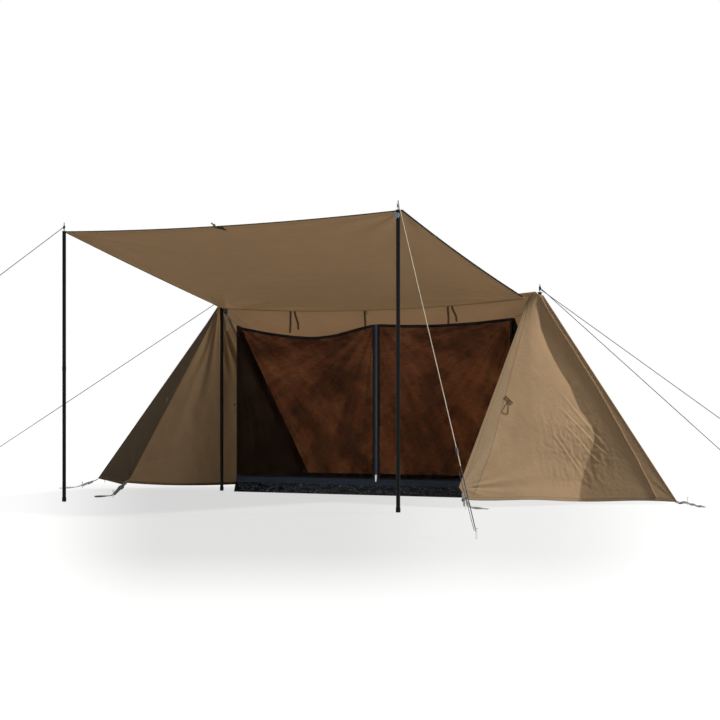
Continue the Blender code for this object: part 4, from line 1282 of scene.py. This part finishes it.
def groundStrap(word, side, part, start, first, pegPlace, node, tails):
    foot = np.array([pegPlace[0], pegPlace[1], straps["pegHeight"]])
    run = foot - start
    along = unit(run)
    level = tilted(run, side, 0.38)
    level = unit(level - along * level.dot(along))
    end = foot - along * 0.006
    middle = start + along * np.linalg.norm(run) * 0.46
    path = softPath([first, start, middle, end], 0.006, 3)
    strap = sweep(f"{word}_{part}_strap_web", mirrored(path, side), straps["width"],
                  straps["thickness"], whiteWeb, across=[mirrored(level, side)])
    aboveFloor(strap)
    settle(strap, "tent", node)
    buckle = ladderBuckle(f"{word}_{part}_buckle", mirrored(middle, side), mirrored(along, side),
                          mirrored(level, side), blackPlastic)
    aboveFloor(buckle)
    settle(buckle, "tent")
    spare = [middle + np.array([0, 0, 0.006])]
    for (right, toward), high in zip(tails, straps["tailHeights"]):
        spare.append(np.array([pegPlace[0] + right, pegPlace[1] + toward, high]))
    spare = softPath(spare, 0.008, 8)
    steps = np.diff(spare, axis=0)
    steps = np.vstack([steps, steps[-1:]])
    lean = 0.40 + 0.22 * np.sin(np.arange(len(steps)) * 0.30)
    flatways = np.array([tilted(s, side, t) for s, t in zip(steps, lean)])
    spare[:, 2] = np.maximum(spare[:, 2], 0.0024 + 0.011 * np.abs(flatways[:, 2]))
    loose = sweep(f"{word}_{part}_strap_tail", mirrored(spare, side), straps["width"] * 0.9,
                  0.0016, whiteWeb, across=mirrored(flatways, side))
    aboveFloor(loose)
    settle(loose, "tent")


def makeStraps():
    for word, side in sideNames:
        key = int(side)
        _, _, cutHigh, cutLow = wingEdges(side)
        middle = (cutHigh + cutLow) / 2
        peg = straps["frontPegs"][key]
        toward = unit(np.array([*peg, straps["pegHeight"]]) - middle)
        groundStrap(word, side, "front", middle + toward * 0.014, middle, peg,
                    f"{word}_front_strap", straps["frontTails"][key])
        for part, corner, peg, tails in (
            ("side", sideCornerOf(side), straps["sidePegs"][key], straps["sideTails"][key]),
            ("rear", rearCorner, straps["rearPeg"], straps["rearTails"]),
        ):
            top, low = seamLine(corner)
            along = unit(low - top)
            out = low + along * 0.008
            groundStrap(word, side, part, out + along * 0.002, low, peg, f"{word}_{part}_strap",
                        tails)
            seam = resample(np.array([top, low]), 0.02)
            roll = sweep(f"{word}_{part}_seam", mirrored(seam, side), 0.011, 0.008, canvasHem,
                         sides=10, power=0.8)
            settle(roll, "tent")


makeStraps()


wingTrim = {
    "footWidth": 0.024,
    "footThick": 0.0040,
    "footRise": 0.011,
    "edgeWidth": 0.018,
    "edgeThick": 0.0046,
    "rollWidth": 0.016,
    "rollThick": 0.010,
    "facing": 20,                  # how many columns of the wing its facing covers
}


def footHem(name, grid, back, look):
    # the doubled foot of a panel; the row that far back gives which way is up the cloth
    up = np.array([unit(v) for v in grid[-back] - grid[-1]])
    hem = hemAlong(name, grid[-1] + up * look["footRise"], canvasHem, look["footWidth"],
                   look["footThick"], "tent", across=up)
    aboveFloor(hem)


def makeWingTrim(word, side, look):
    grid = wingGrids[word]
    near = grid[4:-2, 0]
    footHem(f"{word}_wing_hem", grid, 8, look)
    hemAlong(f"{word}_wing_front_hem", near + (grid[4:-2, 1] - near) * 0.5, canvasHem,
             look["edgeWidth"], look["edgeThick"], "tent", across=grid[4:-2, 3] - near)
    footHem(f"{word}_end_hem", endGrids[word], 6, look)
    if side > 0:
        # the rolled edge between the shaded strip and the outer seam, in a lighter cloth that is a
        # painted highlight
        rows, columns = grid.shape[:2]
        downs = np.linspace(0, 1, rows)
        rolled = np.interp(downs, *zip(*wingLook["rolled"])) * (columns - 1)
        index = np.round(rolled).astype(int)
        normals = outwardNormals(grid, frontside)
        path = [grid[k, index[k]] + normals[k, index[k]] * 0.0040 for k in range(4, rows - 3)]
        roll = sweep("right_wing_roll", softPath(path, 0.02, 4), look["rollWidth"],
                     look["rollThick"], canvasRollHighlight, across=[(0.5, 0.2, 0.8)], sides=10, power=0.8)
        settle(roll, "tent")
        # the facing sewn inside the front edge
        part = slice(3, -3), slice(look["facing"])
        facing = clothShell("right_wing_facing", grid[part] + normals[part] * 0.0016,
                            grid[part][..., :2], 0.0010, canvasDouble)
        settle(facing, "tent")


for word, side in sideNames:
    makeWingTrim(word, side, wingTrim)


def makeToggle(name, ends, loops, finish):
    # a short bar in a loop of cord, sewn to the canvas
    pieces = [sweep(f"{name}_bar", resample(ends, 0.006), 0.009, 0.009, finish, sides=10,
                    power=1.0)]
    for k, path in enumerate(loops):
        pieces.append(sweep(f"{name}_loop_{k}", softPath(path, 0.006, 3), 0.004, 0.004, finish,
                            sides=8, power=1.0))
    settle(joined(f"{name}_toggle", pieces), "tent")


def onCloth(grid, places, proud):
    # the same places, moved onto the cloth's outer face
    normals = outwardNormals(grid, (0.0, -1.0, 0.3))
    made = []
    for place in places:
        gaps = np.linalg.norm(grid - np.asarray(place, float), axis=2)
        k = np.unravel_index(np.argmin(gaps), gaps.shape)
        made.append(grid[k] + normals[k] * proud)
    return made


# each toggle: the two ends of its bar, and the points of its cord
toggles = {
    "rightBar": ((1.424, -0.648, 0.735), (1.470, -0.630, 0.686)),
    "rightCord": ((1.444, -0.700, 0.655), (1.436, -0.728, 0.625), (1.452, -0.716, 0.612),
                  (1.472, -0.690, 0.640), (1.470, -0.706, 0.612)),
    "leftBar": ((-1.452, -0.640, 0.740), (-1.462, -0.640, 0.700)),
    # from the middle of the bar, and then two places on the canvas
    "leftCords": (((-0.006, 0.0, -0.03), (-1.468, -0.66, 0.63), (-1.470, -0.672, 0.600)),
                  ((-0.014, 0.0, -0.03), (-1.480, -0.65, 0.63), (-1.484, -0.660, 0.600))),
    "rearBar": ((-1.572, 0.470, 0.700), (-1.574, 0.440, 0.680)),
    "rearCords": (((0.0, 0.0, -0.02), (-1.584, 0.470, 0.640), (-1.588, 0.48, 0.61)),),
}


def makeToggles(look):
    grid = wingGrids["right"]
    a, b = onCloth(grid, look["rightBar"], 0.009)
    c, d, e, f, g = onCloth(grid, look["rightCord"], 0.006)
    middle = (a + b) / 2
    makeToggle("right_wing", (a, b), ((middle, c, d), (middle, f, g), (d, e, g)), brownTape)
    for name, bar, cords in (("left_wing", "leftBar", "leftCords"),
                             ("left_rear", "rearBar", "rearCords")):
        ends = np.array(look[bar])
        middle = (ends[0] + ends[1]) / 2
        makeToggle(name, ends, [(middle, middle + first, *others)
                                for first, *others in look[cords]], beigeTape)


makeToggles(toggles)

ridgeLook = {
    "strapHalf": 0.0125,
    "endGap": 0.0133,              # between the strap's end and the middle of the pole
    # tapes that hang from the seam below the ridge: x, height of the end, drift to the side
    "tapes": ((-0.717, 1.244, -0.004), (-0.680, 1.266, 0.036), (-0.051, 1.245, 0.004),
              (0.660, 1.274, 0.006), (0.694, 1.294, 0.041)),
    "hook": ((-0.030, -0.036, 1.400), (-0.026, -0.042, 1.385), (-0.022, -0.046, 1.374),
             (-0.030, -0.050, 1.368), (-0.037, -0.046, 1.376)),
    # the white tail of the buckle that hangs the inner tent's left corner
    "leftTail": ((-1.325, -0.012, 1.405), (-1.330, -0.016, 1.370), (-1.322, -0.018, 1.320),
                 (-1.326, -0.017, 1.273)),
}


def makeRidgeStrap(look):
    # it lies flat below the ridge, low enough for its edge to clear the sloping rear wall
    half, reach = look["strapHalf"], tent["halfSpan"] - look["endGap"]
    sag = 0.0015 + tent["wallSag"] * math.sin(math.pi * half / rearCorner[1])
    lost = half * math.tan(wallSlope) + sag / math.cos(wallSlope) + 0.001
    places = np.linspace(-reach, reach, 90)
    path = [(x, 0.0, ridgeHeightAt(x) - lost) for x in places]
    strap = sweep("ridge_strap", path, 2 * half, 0.002, brownTape, across=[(0, 1, 0)])
    settle(strap, "tent", "ridge_webbing")


def makeRidgeTapes(look):
    for k, (x, low, drift) in enumerate(look["tapes"]):
        top = ridgeHeightAt(x) - tent["stripDrop"] - 0.004
        path = [(x, -0.0345, top), (x + drift * 0.15, -0.0355, top * 0.8 + low * 0.2),
                (x + drift * 0.8 + 0.005, -0.040, top * 0.35 + low * 0.65),
                (x + drift, -0.038, low)]
        tape = sweep(f"ridge_tape_{k + 1}", softPath(path, 0.006, 4), 0.016, 0.0018, brownTape,
                     across=[(1, 0.25, 0)])
        settle(tape, "tent")
    made = sweep("ridge_hook", softPath(look["hook"], 0.003, 3), 0.0035, 0.0035, blackPlastic,
                 sides=8, power=1.0)
    settle(made, "tent")
    made = sweep("left_buckle_tail", softPath(look["leftTail"], 0.006, 4), 0.020, 0.0016,
                 whiteWeb, across=[(1, 0.2, 0)])
    settle(made, "tent")


makeRidgeStrap(ridgeLook)
makeRidgeTapes(ridgeLook)


# stitches

def repeatTree():
    # places one low-poly piece again and again along a line, and colours it
    tree = bpy.data.node_groups.new("repeatAlong", "GeometryNodeTree")
    for name, way, kind in (("Geometry", "INPUT", "Geometry"), ("Pitch", "INPUT", "Float"),
                            ("Piece", "INPUT", "Vector"), ("Finish", "INPUT", "Material"),
                            ("Geometry", "OUTPUT", "Geometry")):
        tree.interface.new_socket(name, in_out=way, socket_type=f"NodeSocket{kind}")
    kinds = {
        "source": "NodeGroupInput",
        "curve": "GeometryNodeMeshToCurve",
        "spread": "GeometryNodeCurveToPoints",
        "piece": "GeometryNodeMeshCube",
        "place": "GeometryNodeInstanceOnPoints",
        "real": "GeometryNodeRealizeInstances",
        "finish": "GeometryNodeSetMaterial",
        "result": "NodeGroupOutput",
    }
    made = {word: tree.nodes.new(kind) for word, kind in kinds.items()}
    made["spread"].mode = "LENGTH"
    for start, out, end, into in (
        ("source", "Geometry", "curve", "Mesh"), ("curve", "Curve", "spread", "Curve"),
        ("source", "Pitch", "spread", "Length"), ("source", "Piece", "piece", "Size"),
        ("spread", "Points", "place", "Points"), ("piece", "Mesh", "place", "Instance"),
        ("spread", "Rotation", "place", "Rotation"), ("place", "Instances", "real", "Geometry"),
        ("real", "Geometry", "finish", "Geometry"), ("source", "Finish", "finish", "Material"),
        ("finish", "Geometry", "result", "Geometry"),
    ):
        tree.links.new(made[start].outputs[out], made[end].inputs[into])
    return tree


repeatAlong = repeatTree()


def repeatPieces(name, path, pitch, piece, finish):
    # piece: its sizes across, through and along the line
    path = np.asarray(path, float)
    mesh = bpy.data.meshes.new(name)
    mesh.from_pydata([tuple(p) for p in path], [(i, i + 1) for i in range(len(path) - 1)], [])
    made = bpy.data.objects.new(name, mesh)
    scene.collection.objects.link(made)
    modifier = made.modifiers.new("repeat", "NODES")
    modifier.node_group = repeatAlong
    wanted = {"Pitch": pitch, "Piece": piece, "Finish": finish}
    for item in repeatAlong.interface.items_tree:
        if item.name in wanted:
            modifier[item.identifier] = wanted[item.name]
    bpy.context.view_layer.update()
    depsgraph = bpy.context.evaluated_depsgraph_get()
    plain = bpy.data.meshes.new_from_object(made.evaluated_get(depsgraph))
    made.modifiers.clear()
    made.data = plain
    bpy.data.meshes.remove(mesh)
    return made


stitch = {
    "pitch": 0.0052,
    "size": (0.0011, 0.0009, 0.0036),
    "proud": 0.0024,               # how far it stands off the middle of the cloth under a hem
    "overFacing": 0.0008,
    "hemRise": 0.0215,
}


def stitchLine(name, path, body, proud=(0, 0, 0)):
    path = resample(np.asarray(path, float) + np.asarray(proud, float), 0.01)
    made = repeatPieces(name, path, stitch["pitch"], stitch["size"], threadBrown)
    settle(made, body)


# the pale plastic clip that sits on the right awning pole, below the eyelet
clipLook = {
    "place": (1.333, 1.862),
    "front": (-2.0165, -2.0195, -2.0225, -2.0245),
    "widths": (0.036, 0.044, 0.044, 0.034),
}


def makeClip(look):
    x, z = look["place"]
    clip = sweep("right_pole_clip", [(x, y, z) for y in look["front"]], look["widths"],
                 look["widths"], palePlastic, across=[(1, 0, 0)], sides=28, power=1.0)
    settle(clip, "right_awning_pole")


makeClip(clipLook)


def makeStitches():
    under = outwardNormals(awningGrid, underside)
    half = tent["cloth"] / 2
    front = awningGrid[-4] + under[-4] * half
    stitchLine("awning_front_stitches", front, "awning")
    for k, column in enumerate((2, -3)):
        line = awningGrid[6:-5, column] + under[6:-5, column] * half
        stitchLine(f"awning_edge_stitches_{k}", line, "hinge")
    seam = np.array([seamPoint(u) for u in np.linspace(-0.99, 0.99, 160)])
    for k, lower in enumerate((0.0045, -0.0045)):
        stitchLine(f"awning_seam_stitches_{k}", seam, "tent", proud=(0, -0.0040, lower))
    for word, side in sideNames:
        grid = wingGrids[word]
        normals = outwardNormals(grid, frontside)
        up = np.array([unit(v) for v in grid[-8] - grid[-1]])
        row = grid[-1] + up * stitch["hemRise"] + normals[-2] * stitch["proud"]
        stitchLine(f"{word}_wing_hem_stitches", row[3:-3], "tent")
        proud = stitch["proud"] + stitch["overFacing"]
        for k, column in enumerate((3, 18) if side > 0 else (2,)):
            line = grid[4:-4, column] + normals[4:-4, column] * proud
            stitchLine(f"{word}_wing_edge_stitches_{k}", line, "tent")


makeStitches()
print("hems, seams, straps and stitches made")


# inner tent

inner = {
    "halfWidth": 1.20,
    "front": -0.070,
    "depth": 1.07,
    "height": 1.31,
    "tub": 0.120,
    "flare": 0.015,
    "meshFoot": 0.1203,
    "zipAside": 0.07,
    "zipTop": 1.29,
    "zipFoot": 0.1563,
    "net": 0.0016,
    "gap": 0.0003,                 # between panels of net that meet
    "topDepth": 0.050,
    "tapeOuter": 0.0152,
    "binding": 0.016,
    # the front's top edge: x and height
    "topLine": ((-1.20, 1.305), (-1.12, 1.287), (-0.876, 1.245), (-0.66, 1.216), (-0.482, 1.204),
                (-0.293, 1.219), (-0.10, 1.262), (0.025, 1.289), (0.103, 1.291), (0.301, 1.279),
                (0.588, 1.275), (0.90, 1.286), (1.20, 1.309)),
}
topPlaces = np.linspace(-1.20, 1.20, 241)
topHeights = np.interp(topPlaces, *zip(*inner["topLine"]))
for _ in range(40):
    topHeights[1:-1] = (topHeights[:-2] + topHeights[1:-1] * 2 + topHeights[2:]) / 4
netFront = inner["front"] + inner["net"] / 2 + inner["gap"]


def meshTopAt(x):
    return float(np.interp(x, topPlaces, topHeights))


def netGrid(rows, columns, at):
    return np.array([[at(down, across) for across in np.linspace(0, 1, columns)]
                     for down in np.linspace(0, 1, rows)])


def makeNetPiece(name, grid, flat, body, nodeName, finish):
    made = clothShell(name, grid, flat, inner["net"], finish)
    settle(made, body, nodeName)


def edgeFade(rows, columns, width=0.05):
    # 0 along the edges of a panel and 1 inside it
    down, across = (np.clip(np.minimum(line, 1 - line) / width, 0, 1)
                    for line in (np.linspace(0, 1, rows), np.linspace(0, 1, columns)))
    return down[:, None] * across[None, :]


def makeDoor(word, side):
    hinge = side * inner["halfWidth"]
    zipX = inner["zipAside"] + side * (inner["tapeOuter"] + inner["gap"])
    body = f"{word}_door"

    def doorAt(d, u):
        x = hinge * (1 - u) + zipX * u
        return np.array([x, inner["front"], meshTopAt(x) * (1 - d) + inner["meshFoot"] * d])

    rows, columns = 90, 110
    grid = netGrid(rows, columns, doorAt)
    flat = np.stack([grid[..., 0], grid[..., 2]], axis=2)
    lift = creased(flat, (((hinge, 1.305), 0.016, 15 + side, 0.8, 7.0),
                          ((zipX, 1.29), 0.010, 17 + side, 0.5, 7.0),
                          ((hinge, 0.12), 0.008, 19 + side, 0.5, 7.0)),
                   waves=((0.012, 4.5, 1.0, 20 + side), (0.003, 18.0, 5.0, 25 + side)))
    grid[..., 1] -= (np.abs(lift) + 0.004) * edgeFade(rows, columns)
    makeNetPiece(f"{word}_door_net", grid, flat, body, f"{word}_mesh_door",
                 frontNetting)
    # black tapes: sides by the hinge and the zip, and along the top and the foot
    y, foot = inner["front"] - 0.0005, inner["meshFoot"]
    bindX = inner["zipAside"] + side * (inner["tapeOuter"] + inner["binding"] / 2 - 0.001)
    level, upright = [(0, 0, 1)], [(1, 0, 0)]
    for part, line, width, thickness, across in (
        ("door_top_tape", [(x, y, meshTopAt(x) - 0.010) for x in np.linspace(hinge, zipX, 90)],
         0.022, 0.0038, level),
        ("door_side_tape", [(hinge - side * 0.007, y, z)
                            for z in np.linspace(0.125, 1.0, 30) * meshTopAt(hinge)],
         0.014, 0.0036, upright),
        ("door_foot_tape", [(x, y, foot + 0.006) for x in np.linspace(hinge, zipX, 60)],
         0.013, 0.0036, level),
        ("zip_binding", [(bindX, y, z) for z in np.linspace(foot + 0.001, 1.288, 40)],
         inner["binding"], 0.0034, upright),
    ):
        hemAlong(f"{word}_{part}", line, blackWeb, width, thickness, body, across, "webbing")


def makeEnd(word, side):
    x = side * (inner["halfWidth"] - inner["net"] / 2)
    rearY = inner["front"] + inner["depth"] - inner["net"] / 2

    def endAt(d, u):
        z = inner["height"] * (1 - d) + inner["meshFoot"] * d
        back = (inner["front"] + inner["topDepth"]) * (1 - d) + rearY * d
        return np.array([x, netFront * (1 - u) + back * u, z])

    rows, columns = 70, 50
    grid = netGrid(rows, columns, endAt)
    flat = np.stack([grid[..., 1], grid[..., 2]], axis=2)
    lift = creased(flat, (((netFront, 1.31), 0.016, 70 + side, 0.9, 9.0),),
                   waves=((0.010, 5.0, 1.5, 73),))
    grid[..., 0] -= side * (np.abs(lift) * edgeFade(rows, columns))
    makeNetPiece(f"{word}_end_net", grid, flat, "tent", f"{word}_mesh_end",
                 endNetting)
    # the black band and the pale piping along the slanted rear edge
    slant = np.array([endAt(d, 1.0) for d in np.linspace(0.03, 0.99, 60)])
    slant -= (0.0, 0.030, 0.020)
    slant = slant[slant[:, 1] > netFront + 0.01]
    slant = slant[slant[:, 2] > inner["meshFoot"] + 0.03]
    across = [(0, 0.8, 0.6)]
    hemAlong(f"{word}_end_band", slant, blackWeb, 0.075, 0.0038, "tent", across, "webbing")
    pale = slant + np.array([side * 0.0022, -0.018, -0.014])
    hemAlong(f"{word}_end_piping", pale[4:-4], zipCloth, 0.004, 0.0020, "tent", across, "webbing")


def makeRear():
    half = inner["halfWidth"] - inner["net"] - inner["gap"]
    topRear = inner["front"] + inner["topDepth"] - inner["net"]
    footRear = inner["front"] + inner["depth"] - inner["net"]
    columns = np.linspace(0, 1, 130)
    rows = [[np.array([half * (2 * u - 1), netFront, meshTopAt(half * (2 * u - 1)) - 0.0008])
             for u in columns]]
    for down in np.linspace(0, 1, 80):
        row = []
        for u in columns:
            x = half * (2 * u - 1)
            hang = 0.02 * math.sin(math.pi * u) * math.sin(math.pi * down)
            high = meshTopAt(x) - 0.0008
            y = topRear * (1 - down) + footRear * down
            z = high * (1 - down) + (inner["meshFoot"] + 0.0008) * down
            row.append(np.array([x, y - hang, z - hang]))
        rows.append(row)
    grid = np.array(rows)
    steps = np.linalg.norm(np.diff(grid, axis=0), axis=2)
    lengths = np.concatenate([np.zeros((1, grid.shape[1])), np.cumsum(steps, axis=0)])
    flat = np.stack([grid[..., 0], lengths], axis=2)
    lift = creased(flat, (((-half, 0.05), 0.016, 81, 0.8, 8.0),
                          ((half, 0.05), 0.016, 82, 0.8, 8.0)),
                   waves=((0.014, 3.5, 1.2, 83),))
    inward = unit([0.0, -1.19, -1.02])
    fade = edgeFade(grid.shape[0], grid.shape[1], 0.06)
    grid = grid + inward * (np.abs(lift) * fade)[..., None]
    makeNetPiece("rear_net", grid, flat, "tent", "mesh_rear",
                 netting)


for word, side in sideNames:
    makeDoor(word, side)
    makeEnd(word, side)
makeRear()


tubLook = {
    "wrinkle": 0.011,
    "band": 0.042,                 # how deep the bluish band under its top edge is
    "wall": 0.002,
    "steps": (330, 150),           # points along the front and along an end
}


def makeTub(look):
    # the tub's four walls and floor as one closed sheet with wrinkled walls
    wall = look["wall"]
    rear = inner["front"] + inner["depth"]

    def corners(inset, flare):
        x = inner["halfWidth"] + flare - inset
        near, far = inner["front"] - flare + inset, rear + flare - inset
        return [(-x, near), (x, near), (x, far), (-x, far)]

    def ring(inset, share):
        z = inner["tub"] * share
        flare = inner["flare"] * (1 - share)
        lift = math.sin(math.pi * min(max(share, 0.02), 0.98)) ** 0.6
        points = []
        place = corners(inset, flare)
        for a, b, count in zip(place, place[1:] + place[:1], look["steps"] * 2):
            for k in range(count):
                t = k / count
                x, y = a[0] + (b[0] - a[0]) * t, a[1] + (b[1] - a[1]) * t
                out = unit([b[1] - a[1], a[0] - b[0], 0.0])
                fade = math.sin(math.pi * min(t, 1 - t) * 2) ** 0.4 if 0 < t < 1 else 0.0
                bump = noise.noise(Vector((x * 7.0 + z * 5.0, y * 7.0, z * 22.0))) \
                    + 0.7 * noise.noise(Vector((x * 21.0 - z * 9.0, y * 21.0, z * 55.0)))
                push = min(max(bump, -1.0), 1.0) * look["wrinkle"] * fade * lift
                points.append((x + out[0] * push, y + out[1] * push, z))
        return points

    shares = np.linspace(0.0, 1.0, 15)
    rings = [ring(0.0, s) for s in shares] + [ring(wall, s) for s in shares[:0:-1]]
    rings.append([(p[0], p[1], wall) for p in ring(wall, 0.0)])
    count = len(rings[0])
    points = [p for row in rings for p in row]
    faces = []
    for start in range(0, len(points) - count, count):
        for i in range(count):
            j = (i + 1) % count
            faces.append((start + i, start + j, start + count + j, start + count + i))
    faces.append(tuple(range(count)))
    faces.append(tuple(range(len(points) - count, len(points))))
    uv = [(p[0] + p[1], p[2]) for p in points]
    made = addMesh("tub_cloth", points, faces, tubCloth, uv)
    made.data.materials.append(tubBand)
    for face in made.data.polygons:
        if face.center.z > inner["tub"] - look["band"]:
            face.material_index = 1
    settle(made, "tent", "groundsheet")


makeTub(tubLook)
print("inner tent made")


# zip

zipLook = {"pitch": 0.0032, "tooth": (0.0015, 0.0022, 0.0019)}


def makeZip():
    low, high = inner["zipFoot"], inner["zipTop"]
    for word, side in sideNames:
        insideX = inner["zipAside"] + side * 0.0012
        outsideX = inner["zipAside"] + side * inner["tapeOuter"]
        grid = np.array([[np.array([insideX * (1 - u) + outsideX * u, inner["front"], z])
                          for u in np.linspace(0, 1, 6)]
                         for z in np.linspace(low, high, 60)])
        flat = np.stack([grid[..., 0], grid[..., 2]], axis=2)
        tape = clothShell(f"{word}_zip_cloth", grid, flat, 0.002, zipCloth)
        settle(tape, f"{word}_door", f"{word}_zip_tape")
        lag = 0.0 if side > 0 else zipLook["pitch"] / 2      # so that the two rows interlock
        line = np.array([(inner["zipAside"] + side * 0.0017, inner["front"], z)
                         for z in np.linspace(low + 0.002 + lag, high - 0.004 + lag, 2)])
        teeth = repeatPieces(f"{word}_zip_teeth", line, zipLook["pitch"], zipLook["tooth"],
                             toothMetal)
        settle(teeth, f"{word}_door")


makeZip()

# the solids that stay, by a word in their names
nodeFinishes = (("pole_", poleSteel), ("_ring", darkSteel), ("_peg", plainSteel),
                ("runner", blackPlastic), ("buckle", blackPlastic), ("zip_slider", zipMetal),
                ("zip_pull", zipMetal))
for name, node in nodes.items():
    for key, finish in nodeFinishes:
        if key in name:
            node.data.materials.clear()
            node.data.materials.append(finish)
            break

# the strap from each ridge end to the inner tent's corner
tieLook = {"corner": (1.1992, -0.045, 1.3113), "top": (1.3497, 0.0, 1.4097)}
for word, side in sideNames:
    corner, top = (mirrored(tieLook[key], side) for key in ("corner", "top"))
    line = [top, top - (0, 0, 0.010), corner + (side * 0.02, 0.006, 0.002), corner]
    strap = sweep(f"{word}_inner_tie", softPath(line, 0.006, 3), 0.015, 0.002, whiteWeb,
                  across=[(0, 1, 0)])
    settle(strap, "tent", f"{word}_inner_strap")
